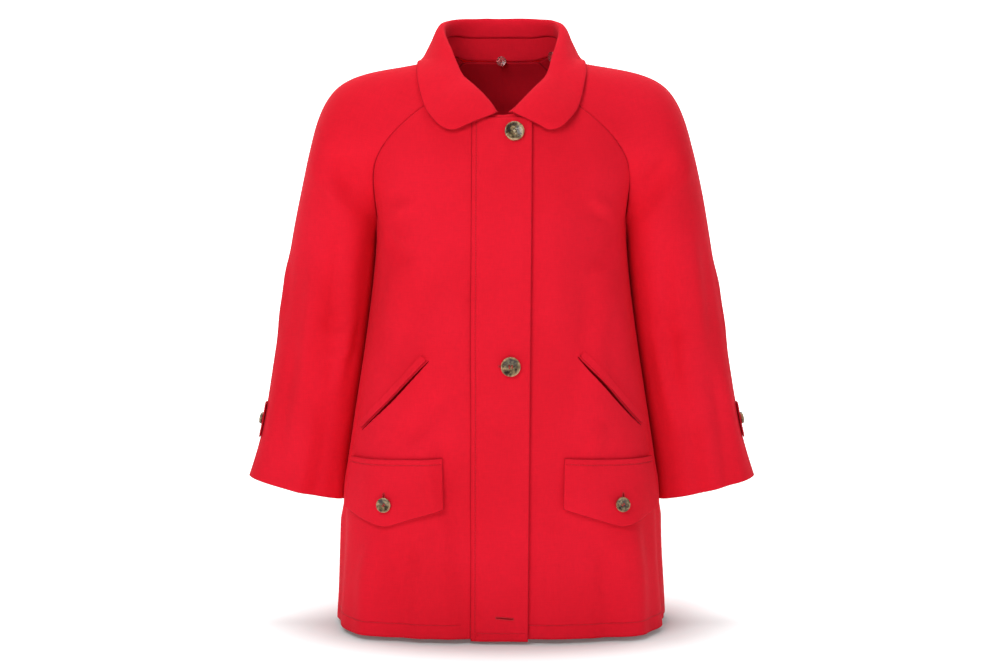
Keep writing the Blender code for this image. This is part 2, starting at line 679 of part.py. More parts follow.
def fall_line(around, side):
    """The collar's visible face across it: up the neck side, over the roll and down to its edge."""
    neck, roll, edge = neck_edge(around), collar_row(around, "roll", side), collar_row(around, "edge")
    bulge = float(read(COLLAR, "around", "bulge", around))
    away = outward_at(roll)
    thin = fade(1 - around, 0.10)
    foot = neck + (roll - neck) * STAND_SHARE - away * CLOTH + unit(roll - neck) * STAND_GAP
    turn = COLLAR_ROLL * (COLLAR_FRONT_ROLL + (1 - COLLAR_FRONT_ROLL) * thin)
    over = roll + away * turn - np.array([0, 0, 0.20 * turn])
    first, second = [over + (edge - over) * share + away * bulge for share in FALL_SHARES]
    top = roll + np.array([0, 0, 0.10 * turn])
    return smooth_line([foot, top, over, first, second, edge], (2, 2, 2, 2, 2))


def build_collar(material, under):
    """The stand, which rises from the neck seam, and the fall, which rolls over it."""
    stations = collar_stations()
    right, left = [np.array([fall_line(a, side) for a in stations]) for side in (-1, 1)]
    whole = np.concatenate([mirrored(right[::-1]), left[1:]])
    points = np.transpose(whole, (1, 0, 2))
    points = clear_of(points, under, CLOTH + COLLAR_CLEARANCE, 5)
    normals = -grid_normals(points)
    fall = cloth_wall("collar_fall", points, points - CLOTH * normals, material)

    reach = np.append(stations[stations < STAND_END - 0.01], STAND_END)
    outer = []
    for k in (0.0, 0.5, 1.0):
        lines = []
        for side in (-1, 1):
            line = []
            for a in reach:
                neck, roll = neck_edge(a), collar_row(a, "roll", side)
                foot = neck + unit(roll - neck) * NECK_GAP
                line.append(foot + (neck + (roll - neck) * STAND_SHARE - foot) * k)
            lines.append(np.array(line))
        outer.append(np.concatenate([mirrored(lines[0][::-1]), lines[1][1:]]))
    outer = np.array(outer)
    around = np.concatenate([-reach[::-1], reach[1:]])
    away = []
    for a in around:
        direction = outward_at(collar_row(abs(a), "roll", 1 if a > 0 else -1))
        away.append(direction if a >= 0 else mirrored(direction))
    inner = outer - CLOTH * np.array(away)[None]
    stand = cloth_wall("collar_stand", outer, inner, material)
    return stand, fall


def tree_of(names):
    """A search tree over the outer faces of these pieces."""
    points, faces = [], []
    for name in names:
        grid = outer_faces[name]
        rows, columns = grid.shape[:2]
        start = len(points)
        points += [Vector(p) for p in grid.reshape(-1, 3)]
        for r in range(rows - 1):
            for c in range(columns - 1):
                i = start + r * columns + c
                faces.append((i, i + 1, i + columns + 1))
                faces.append((i, i + columns + 1, i + columns))
    return BVHTree.FromPolygons(points, faces)


def clear_of(points, names, gap, first_row=0):
    """Pushes the rows of a grid out until they lie this far outside the pieces under them."""
    tree = tree_of(names)
    moved = points.copy()
    for r in range(first_row, points.shape[0]):
        for c in range(points.shape[1]):
            moved[r, c] = pushed(tree, moved[r, c], gap)
    return moved


def pushed(tree, point, gap):
    hit, normal, _, distance = tree.find_nearest(Vector(point))
    if hit is None or distance > NEAR:
        return point
    outside = np.dot(np.array(point) - np.array(hit), np.array(normal))
    if outside >= gap:
        return point
    return np.array(point) + (gap - outside) * np.array(normal)


# ---------------------------------------------------------------- what lies on the fronts
def front_frame(x, z):
    """A point of the front's outer face at this distance from the middle, and its normal."""
    side = -1 if x < 0 else 1
    share = share_at(abs(x), z, "front")
    normal = body_normal(share, z) * np.array([side, 1, 1])
    return body_point(side * share, z), normal


def build_placket(material):
    """The band over the centre front: sewn on at its left edge and free at its right one."""
    heights = list(np.linspace(HEM_Z, UNDERARM_Z, BODY_ROWS + 1)[1:])
    heights += list(np.linspace(UNDERARM_Z, FRONT_NECK_Z, YOKE_ROWS + 1)[1:-1])
    heights = [PLACKET_BOTTOM_Z] + heights + [PLACKET_TOP_Z]
    points, normals = [], []
    for z in heights:
        seam = float(read(PLACKET, "z", "seam_x", z))
        free = float(read(PLACKET, "z", "free_x", z))
        stops = [seam, seam + PLACKET_RAMP / 2, seam + PLACKET_RAMP]
        stops += list(np.linspace(seam + PLACKET_RAMP, free, 6)[1:])
        line, line_normals = [], []
        for x in stops:
            point, normal = front_frame(x, max(z, HEM_Z - 0.003))
            lift = PLACKET_LIFT * fade(x - seam, PLACKET_RAMP)
            lift += PLACKET_EDGE_LIFT * fade(x - free + 0.03, 0.03)
            line.append(point + lift * normal)
            line_normals.append(normal)
        points.append(line)
        normals.append(line_normals)
    points, normals = np.array(points), np.array(normals)
    points[:, 3:] = clear_of(points[:, 3:], ["front_left"], PLACKET_CLOTH + OVERLAY_GAP)
    return wall_of("placket", points, normals, PLACKET_CLOTH, material, ("left",))


def flap_frame(side, middle, across, down):
    """A point of the front under a pocket flap, measured along the cloth from the flap's middle."""
    z = FLAP_TOP_Z - down - FLAP_SLOPE * (across / FLAP_WIDTH + 0.5)
    reach = quarter(z, "front")[2][-1]
    start = share_at(middle, z, "front") * reach
    share = (start + across) / reach
    normal = body_normal(share, z) * np.array([side, 1, 1])
    return body_point(side * share, z), normal


def build_flap(side, middle, word, material):
    """A pointed pocket flap: sewn on along its top, standing off a little lower down."""
    points, normals = [], []
    columns, rows = 10, 6
    for k in np.linspace(0, 1, rows + 1):
        line, line_normals = [], []
        for s in np.linspace(-0.5, 0.5, columns + 1):
            drop = FLAP_POINT - (FLAP_POINT - FLAP_SIDE) * abs(s) * 2
            point, normal = flap_frame(side, middle, s * FLAP_WIDTH, drop * (1 - k))
            lift = FLAP_CLEARANCE + FLAP_CLOTH + FLAP_LIFT * fade(1 - k, 1.0)
            line.append(point + lift * normal)
            line_normals.append(normal)
        points.append(line)
        normals.append(line_normals)
    points, normals = np.array(points), np.array(normals)
    points = clear_of(points, [f"front_{word}", "back"], FLAP_CLOTH + OVERLAY_GAP)
    return wall_of(f"pocket_flap_{word}", points, normals, FLAP_CLOTH, material, (), flip=side < 0)


def slit_line(side, i):
    start = np.array([WELTS["inner_x"][i], WELTS["inner_z"][i]])
    end = np.array([WELTS["outer_x"][i], WELTS["outer_z"][i]])
    return start, end


def build_welt(side, i, word, material):
    """The folded strip along the upper edge of a slanted pocket's slit."""
    start, end = slit_line(side, i)
    line = end - start
    across = np.array([-line[1], line[0]]) / np.linalg.norm(line)
    if across[1] < 0:
        across = -across
    points, normals = [], []
    for k in (0.0, 0.5, 1.0):
        row, row_normals = [], []
        for t in np.linspace(0.0, 1.0, 13):
            x, z = start + line * t + across * (SLIT_WIDTH / 2 + WELT_GAP + WELT_WIDTH * k)
            point, normal = front_frame(side * x, z)
            row.append(point + (WELT_HEIGHT + OVERLAY_GAP) * normal)
            row_normals.append(normal)
        points.append(row)
        normals.append(row_normals)
    points, normals = np.array(points), np.array(normals)
    points = clear_of(points, [f"front_{word}"], WELT_HEIGHT + OVERLAY_GAP)
    return wall_of(f"pocket_welt_{word}", points, normals, WELT_HEIGHT, material, (), flip=side < 0)


def cut_slit(front, side, i):
    """A narrow leaf-shaped cut through the front, where the hand goes in."""
    start, end = slit_line(side, i)
    middle = (start + end) / 2
    line = end - start
    bm = bmesh.new()
    angle = math.atan2(line[1], side * line[0])
    outline = []
    for t in np.linspace(0, 1, 9)[:-1]:
        outline.append((SLIT_LENGTH * (t - 0.5), SLIT_WIDTH / 2 * math.sin(math.pi * t) ** 0.6))
    for t in np.linspace(1, 0, 9)[:-1]:
        outline.append((SLIT_LENGTH * (t - 0.5), -SLIT_WIDTH / 2 * math.sin(math.pi * t) ** 0.6))
    base = [bm.verts.new((x, 0, y)) for x, y in outline]
    face = bm.faces.new(base)
    solid = bmesh.ops.extrude_face_region(bm, geom=[face])
    moved = [v for v in solid["geom"] if isinstance(v, bmesh.types.BMVert)]
    bmesh.ops.translate(bm, verts=moved, vec=(0, SLIT_CUTTER_Y[1], 0))
    bmesh.ops.recalc_face_normals(bm, faces=bm.faces)
    mesh = bpy.data.meshes.new("slit_cutter")
    bm.to_mesh(mesh)
    bm.free()
    cutter = bpy.data.objects.new(f"slit_cutter_{i}", mesh)
    cutter.matrix_world = Matrix.Translation((side * middle[0], SLIT_CUTTER_Y[0], middle[1])) \
        @ Matrix.Rotation(-angle, 4, "Y")
    cutter.hide_render = True
    cutter.display_type = "WIRE"
    cutter_collection.objects.link(cutter)
    cut = front.modifiers.new("slit", "BOOLEAN")
    cut.operation = "DIFFERENCE"
    cut.solver = "EXACT"
    cut.object = cutter


# ---------------------------------------------------------------- tabs and buttons
def build_tab(side, word, material):
    """The strap's end at the outer side of the sleeve, running round to the back."""
    points, normals = [], []
    half = TAB_WIDTH / 2 / SLEEVE_FLAT[1]
    for k in (-1.0, -0.4, 0.4, 1.0):
        row, row_normals = [], []
        for around in np.linspace(TAB_FRONT_END, TAB_BACK_END, 12):
            along = TAB_MIDDLE + k * half
            point = sleeve_point(around, along, side)
            normal = sleeve_normal_base(around, along)
            row.append(point + (TAB_CLOTH + TAB_CLEARANCE) * normal)
            row_normals.append(normal)
        points.append(row)
        normals.append(row_normals)
    points, normals = np.array(points), np.array(normals)
    if side < 0:
        points, normals = mirrored(points), mirrored(normals)
    points = clear_of(points, [f"sleeve_front_{word}", f"sleeve_back_{word}"], TAB_CLOTH + OVERLAY_GAP)
    return wall_of(f"sleeve_tab_{word}", points, normals, TAB_CLOTH, material, (), flip=side < 0)


def build_button(name, size, where, normal, material):
    """A turned button with a raised rim, facing along the normal."""
    radius, height = size
    profile = [(radius * 0.80, height), (radius * 0.96, height * 0.92), (radius, height * 0.62),
               (radius * 0.90, height * 0.15), (radius * 0.72, 0.0)]
    inner = [(0.0, height * 0.62), (radius * 0.55, height * 0.62)]
    points = inner + profile + [(0.0, 0.0)]
    mesh = bpy.data.meshes.new(name)
    bm = bmesh.new()
    verts = [bm.verts.new((x, 0, z)) for x, z in points]
    for a, b in zip(verts, verts[1:]):
        bm.edges.new((a, b))
    bm.to_mesh(mesh)
    bm.free()
    obj = place(bpy.data.objects.new(name, mesh), material)
    screw = obj.modifiers.new("turn", "SCREW")
    screw.steps = ROUND_SIDES
    screw.render_steps = ROUND_SIDES
    screw.use_merge_vertices = True
    screw.merge_threshold = 0.00005
    screw.use_normal_calculate = False
    turn = Vector(normal).to_track_quat("Z", "Y")
    obj.location = Vector(where) + Vector(normal) * BUTTON_CLEARANCE
    obj.rotation_euler = turn.to_euler()
    return obj


def build_buttons(horn, clear):
    for number, x, z in zip(PLACKET_BUTTONS["number"], PLACKET_BUTTONS["x"], PLACKET_BUTTONS["z"]):
        point, normal = front_frame(x, z)
        where = point + PLACKET_BUTTON_LIFT * normal
        build_button(f"button_front_{int(number)}", LARGE_BUTTON, where, normal, horn)
    for side, middle, word in ((-1, FLAPS["middle_x"][0], "right"), (1, FLAPS["middle_x"][1], "left")):
        point, normal = flap_frame(side, middle, 0.0, FLAP_BUTTON_DROP)
        lift = FLAP_CLEARANCE + FLAP_CLOTH + FLAP_LIFT
        build_button(f"button_flap_{word}", FLAP_BUTTON, point + lift * normal, normal, horn)
        out = sleeve_normal_base(TAB_BUTTON_AROUND, TAB_MIDDLE)
        where = sleeve_point(TAB_BUTTON_AROUND, TAB_MIDDLE, side)
        where = where + (TAB_CLEARANCE + TAB_CLOTH + TAB_BUTTON_LIFT) * out
        if side < 0:
            where, out = mirrored(where), mirrored(out)
        build_button(f"button_tab_{word}", TAB_BUTTON, where, out, horn)
    for name, spot in HOOD_BUTTONS.items():
        neck, roll = neck_edge(spot["around"]), collar_row(spot["around"], "roll")
        ahead = neck_edge(spot["around"] + 0.02) - neck
        inward = unit(np.cross(ahead, roll - neck))
        where = neck + (roll - neck) * spot["share"] - outward_at(roll) * CLOTH
        flip = np.array([spot["side"], 1, 1])
        build_button(f"button_hood_{name}", HOOD_BUTTON, where * flip, inward * flip, clear)


# ---------------------------------------------------------------- the whole coat
for old in list(bpy.data.objects):
    bpy.data.objects.remove(old, do_unlink=True)
part_collection = bpy.data.collections.new("anorak")
cutter_collection = bpy.data.collections.new("cutters")
bpy.context.scene.collection.children.link(part_collection)
bpy.context.scene.collection.children.link(cutter_collection)

red_cloth = make_material("red_cloth", (0.72, 0.012, 0.035), 0.75)
horn_plastic = make_material("horn_plastic", (0.35, 0.20, 0.09), 0.30)
clear_plastic = make_material("clear_plastic", (0.80, 0.30, 0.28), 0.20)

outer_faces = {}
panel_objects = build_panels(red_cloth)
build_placket(red_cloth)
build_collar(red_cloth, list(outer_faces))
for flap_side, flap_word, flap_number in ((-1, "right", 0), (1, "left", 1)):
    build_flap(flap_side, FLAPS["middle_x"][flap_number], flap_word, red_cloth)
    build_welt(flap_side, flap_number, flap_word, red_cloth)
    build_tab(flap_side, flap_word, red_cloth)
    cut_slit(panel_objects[flap_number], flap_side, flap_number)
build_buttons(horn_plastic, clear_plastic)
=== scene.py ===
# Red raglan car coat, worn form with nobody in it: cloth, sewing, buttons and studio.
import math
import random

import bpy
import numpy as np
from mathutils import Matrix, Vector
from mathutils.bvhtree import BVHTree
from mathutils.kdtree import KDTree


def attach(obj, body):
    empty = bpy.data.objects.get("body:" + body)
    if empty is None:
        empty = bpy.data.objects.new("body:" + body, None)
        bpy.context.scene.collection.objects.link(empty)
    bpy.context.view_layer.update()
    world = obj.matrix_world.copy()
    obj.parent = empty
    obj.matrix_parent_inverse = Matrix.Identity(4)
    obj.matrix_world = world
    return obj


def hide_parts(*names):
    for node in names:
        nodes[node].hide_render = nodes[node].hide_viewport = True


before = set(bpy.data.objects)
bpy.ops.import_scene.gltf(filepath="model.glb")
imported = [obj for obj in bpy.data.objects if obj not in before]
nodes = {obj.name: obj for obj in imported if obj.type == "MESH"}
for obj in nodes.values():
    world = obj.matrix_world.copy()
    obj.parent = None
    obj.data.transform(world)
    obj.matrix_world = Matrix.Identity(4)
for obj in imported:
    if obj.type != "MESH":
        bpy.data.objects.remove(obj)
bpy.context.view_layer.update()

random.seed(11)


# small helpers

def note(text):
    print("coat:", text, flush=True)


def deselectAll():
    if bpy.context.mode != "OBJECT":
        bpy.ops.object.mode_set(mode="OBJECT")
    bpy.ops.object.select_all(action="DESELECT")


def makeActive(obj):
    deselectAll()
    obj.select_set(True)
    bpy.context.view_layer.objects.active = obj


def editMode(obj, kind="FACE"):
    makeActive(obj)
    bpy.context.tool_settings.mesh_select_mode = (kind == "VERT", kind == "EDGE", kind == "FACE")
    bpy.ops.object.mode_set(mode="EDIT")


def editAll(obj, kind="FACE"):
    editMode(obj, kind)
    bpy.ops.mesh.select_all(action="SELECT")


def objectMode():
    bpy.ops.object.mode_set(mode="OBJECT")


def pickVerts(obj, picks):
    mesh = obj.data
    picks = np.asarray(picks, dtype=bool)
    mesh.vertices.foreach_set("select", picks)
    edges = np.empty(len(mesh.edges) * 2, dtype=int)
    mesh.edges.foreach_get("vertices", edges)
    mesh.edges.foreach_set("select", picks[edges.reshape(-1, 2)].all(axis=1))
    mesh.polygons.foreach_set("select", [all(picks[i] for i in face.vertices) for face in mesh.polygons])


def pickOnly(obj, elements):
    # just these faces or edges
    pickVerts(obj, np.zeros(len(obj.data.vertices), dtype=bool))
    for element in elements:
        element.select = True


def applyModifier(obj, kind, **values):
    makeActive(obj)
    mod = obj.modifiers.new(kind.lower(), kind)
    for name, value in values.items():
        setattr(mod, name, value)
    bpy.ops.object.modifier_apply(modifier=mod.name)


def softStep(value, width):
    # 0 at nought and below, 1 at width and above, soft at both ends
    share = np.clip(np.asarray(value, dtype=float) / width, 0.0, 1.0)
    return share * share * (3 - 2 * share)


def placesOf(obj):
    flat = np.empty(len(obj.data.vertices) * 3)
    obj.data.vertices.foreach_get("co", flat)
    return flat.reshape(-1, 3)


def normalsOf(obj):
    flat = np.empty(len(obj.data.vertices) * 3)
    obj.data.vertices.foreach_get("normal", flat)
    return flat.reshape(-1, 3)


def setPlaces(obj, places):
    obj.data.vertices.foreach_set("co", np.asarray(places, dtype=float).ravel())
    obj.data.update()


def unitRows(rows):
    rows = np.asarray(rows, dtype=float)
    return rows / np.maximum(np.linalg.norm(rows, axis=-1, keepdims=True), 1e-12)


def treeOf(points):
    tree = KDTree(len(points))
    for i, point in enumerate(points):
        tree.insert(point, i)
    tree.balance()
    return tree


def putInScene(name, data):
    obj = bpy.data.objects.new(name, data)
    bpy.context.scene.collection.objects.link(obj)
    return obj


def meshFrom(name, verts, faces):
    mesh = bpy.data.meshes.new(name)
    mesh.from_pydata([tuple(v) for v in verts], [], [tuple(f) for f in faces])
    mesh.update()
    return putInScene(name, mesh)


# The cloth. Each piece is the outer sheet of its node, seen from one point, made finer.
# on: B body, R and L the wearer's right and left sleeve, C collar
usual = dict(on="B", finer=3, thick=0.0017, held="hung")
cloth = {
    "front_right": dict(seen=(-0.10, -0.70, -0.40)),
    "front_left": dict(seen=(0.10, -0.70, -0.40)),
    "back": dict(seen=(0.0, 0.70, -0.40)),
    "sleeve_front_right": dict(seen=(-0.27, -0.60, -0.40), on="R"),
    "sleeve_back_right": dict(seen=(-0.27, 0.60, -0.40), on="R"),
    "sleeve_front_left": dict(seen=(0.27, -0.60, -0.40), on="L"),
    "sleeve_back_left": dict(seen=(0.27, 0.60, -0.40), on="L"),
    "placket": dict(seen=(0.0, -0.70, -0.40), thick=0.0023),
    "collar_stand": dict(seen=(0.0, 0.0, 0.02), on="C", thick=0.0018, held="folded", band=True),
    "collar_fall": dict(seen=(0.0, 0.60, 0.0), on="C", thick=0.0019, held="folded"),
    "pocket_flap_right": dict(seen=(-0.146, -0.70, -0.54), thick=0.0019, held="laid", standsOff=0.0034),
    "pocket_flap_left": dict(seen=(0.151, -0.70, -0.54), thick=0.0019, held="laid", standsOff=0.0024),
    "pocket_welt_right": dict(seen=(-0.135, -0.70, -0.42), finer=2, thick=0.0012, held="laid"),
    "pocket_welt_left": dict(seen=(0.135, -0.70, -0.42), finer=2, thick=0.0012, held="laid"),
    "sleeve_tab_right": dict(seen=(-0.60, 0.0, -0.40), on="R", thick=0.0019, held="laid"),
    "sleeve_tab_left": dict(seen=(0.60, 0.0, -0.40), on="L", thick=0.0019, held="laid"),
}
cloth = {name: usual | spec for name, spec in cloth.items()}
mainPanels = list(cloth)[:7]
# each slit's two ends, as (x, z), and its width
pocketSlits = {
    "front_right": dict(ends=((-0.0910, -0.3760), (-0.1790, -0.4710)), wide=0.0036),
    "front_left": dict(ends=((0.0975, -0.3710), (0.1790, -0.4650)), wide=0.0036),
}
slitWork = dict(edgeReach=0.012, cornerReach=0.0035, smoothReach=0.035, smoothTimes=30, deep=0.014,
                above=0.008, spots=15, tip=0.04, blunt=0.6)
sheetWork = dict(weld=0.00002, quadTurn=math.radians(40), quadSkew=math.radians(80),
                 fold=math.radians(62), facing=0.5)


def slitOf(name):
    # the slit beside a welt, or in a front
    return pocketSlits[name.replace("pocket_welt", "front")]["ends"]


def makeQuads():
    bpy.ops.mesh.tris_convert_to_quads(face_threshold=sheetWork["quadTurn"],
                                       shape_threshold=sheetWork["quadSkew"])


def outerSheet(name, spec):
    obj = putInScene(name + "_cloth", nodes[name].data.copy())
    obj.data.materials.clear()
    editAll(obj, "VERT")
    bpy.ops.mesh.remove_doubles(threshold=sheetWork["weld"])
    makeQuads()
    bpy.ops.mesh.select_all(action="DESELECT")
    objectMode()
    seen = Vector(spec["seen"])
    best, bestFar = 0, 1e9
    for face in obj.data.polygons:
        away = seen - face.center
        if face.normal.dot(away.normalized()) > sheetWork["facing"] and away.length < bestFar:
            best, bestFar = face.index, away.length
    pickOnly(obj, [obj.data.polygons[best]])
    editMode(obj, "FACE")
    bpy.ops.mesh.faces_select_linked_flat(sharpness=sheetWork["fold"])
    bpy.ops.mesh.select_all(action="INVERT")
    bpy.ops.mesh.delete(type="FACE")
    objectMode()
    return obj


def slitFar(places, ends):
    # how far each point lies from a slit, seen from the front
    places, (a, b) = places[:, [0, 2]], np.array(ends)
    along = np.clip(((places - a) @ (b - a)) / ((b - a) @ (b - a)), 0, 1)
    return np.linalg.norm(places - (a + along[:, None] * (b - a)), axis=1)


def closeSlit(obj, spec):
    # the slit is cut again later, in the fine mesh
    places = placesOf(obj)
    far = slitFar(places, spec["ends"])
    editMode(obj, "EDGE")
    bpy.ops.mesh.select_all(action="DESELECT")
    bpy.ops.mesh.select_non_manifold(extend=False, use_wire=False, use_multi_face=False,
                                     use_non_contiguous=False, use_verts=False)
    objectMode()
    reach = slitWork["edgeReach"]
    pickOnly(obj, [e for e in obj.data.edges if e.select and all(far[i] < reach for i in e.vertices)])
    editMode(obj, "EDGE")
    bpy.ops.mesh.edge_face_add()
    bpy.ops.mesh.select_all(action="SELECT")
    bpy.ops.mesh.fill_holes(sides=12)
    objectMode()
    # the cut's own corners go, and the panel's first grid is left
    places = placesOf(obj)
    pickVerts(obj, (slitFar(places, spec["ends"]) < slitWork["cornerReach"]) & (places[:, 1] < 0))
    editMode(obj, "VERT")
    bpy.ops.mesh.dissolve_verts(use_face_split=False)
    bpy.ops.mesh.select_all(action="SELECT")
    bpy.ops.mesh.quads_convert_to_tris(quad_method="BEAUTY", ngon_method="BEAUTY")
    makeQuads()
    bpy.ops.mesh.normals_make_consistent(inside=False)
    objectMode()


def boundaryLoops(obj):
    # the open edges of a sheet, as ordered runs of vertex numbers
    mesh = obj.data
    count = np.zeros(len(mesh.edges), dtype=int)
    loopEdges = np.empty(len(mesh.loops), dtype=int)
    mesh.loops.foreach_get("edge_index", loopEdges)
    np.add.at(count, loopEdges, 1)
    links = {}
    for i in np.nonzero(count == 1)[0]:
        a, b = mesh.edges[i].vertices
        links.setdefault(a, []).append(b)
        links.setdefault(b, []).append(a)
    runs, seen = [], set()
    for first in links:
        if first in seen:
            continue
        run, here, before = [first], first, None
        seen.add(first)
        while True:
            ahead = [n for n in links[here] if n != before and n not in seen]
            if not ahead:
                break
            before, here = here, ahead[0]
            seen.add(here)
            run.append(here)
        runs.append(run)
    return runs


# a piece taller than tall has its grain up; one that fills less of its box than slanted is straightened
cutWork = dict(tall=0.05, slanted=0.45)


def unwrapFlat(obj, band=False):
    # the cut: laid flat, the grain running up the piece, in metres
    mesh = obj.data
    editAll(obj)
    bpy.ops.uv.unwrap(method="ANGLE_BASED", margin=0.0)
    objectMode()
    uv = np.empty(len(mesh.loops) * 2)
    mesh.uv_layers.active.data.foreach_get("uv", uv)
    uv = uv.reshape(-1, 2)
    corner = np.empty(len(mesh.loops), dtype=int)
    mesh.loops.foreach_get("vertex_index", corner)
    places = placesOf(obj)[corner]
    spread = np.column_stack([uv - uv.mean(0), np.ones(len(uv))])
    grain = places[:, 2] if np.ptp(places[:, 2]) > cutWork["tall"] else places[:, 0]
    lean = np.linalg.lstsq(spread, grain, rcond=None)[0][:2]
    up = lean / max(np.linalg.norm(lean), 1e-9)
    side = np.array([up[1], -up[0]])
    flat = np.column_stack([uv @ side, uv @ up])
    flatArea = 0.0
    for face in mesh.polygons:
        p = flat[list(face.loop_indices)]
        x, y = p[:, 0], p[:, 1]
        flatArea += 0.5 * abs(np.dot(x, np.roll(y, -1)) - np.dot(y, np.roll(x, -1)))
    area = sum(face.area for face in mesh.polygons)
    flat *= math.sqrt(area / max(flatArea, 1e-12))
    if area < cutWork["slanted"] * np.prod(np.ptp(flat, axis=0)):
        flat = (flat - flat.mean(0)) @ np.linalg.svd(flat - flat.mean(0), full_matrices=False)[2].T
    flat -= flat.min(0)
    mesh.uv_layers.active.data.foreach_set("uv", flat.ravel())
    if band:
        # a curved band is measured along its middle: its two sides from its edge's length and its area
        places = placesOf(obj)
        run = places[boundaryLoops(obj)[0]]
        half = np.linalg.norm(run - np.roll(run, -1, axis=0), axis=1).sum() / 2
        root = math.sqrt(half * half - 4 * area)
        return [float(half - root) / 2, float(half + root) / 2], float(area)
    return [float(v) for v in np.ptp(flat, axis=0)], float(area)


sheets, cuts = {}, {}
for name, spec in cloth.items():
    sheet = outerSheet(name, spec)
    if name in pocketSlits:
        closeSlit(sheet, pocketSlits[name])
    cuts[name] = unwrapFlat(sheet, spec.get("band", False))
    applyModifier(sheet, "SUBSURF", levels=spec["finer"], render_levels=spec["finer"],
                  boundary_smooth="PRESERVE_CORNERS")
    if name in pocketSlits:
        # the filled slit's thin triangles ripple, so the cloth round it is smoothed
        far = slitFar(placesOf(sheet), slitOf(name))
        pickVerts(sheet, (far < slitWork["smoothReach"]) & (placesOf(sheet)[:, 1] < 0))
        editMode(sheet, "VERT")
        bpy.ops.mesh.vertices_smooth(factor=0.5, repeat=slitWork["smoothTimes"])
        objectMode()
    sheets[name] = sheet
note("sheets taken from the frame")


def bvhOf(objs):
    verts, faces = [], []
    for obj in objs:
        start = len(verts)
        verts += [v.co.copy() for v in obj.data.vertices]
        faces += [[start + i for i in face.vertices] for face in obj.data.polygons]
    return BVHTree.FromPolygons(verts, faces)


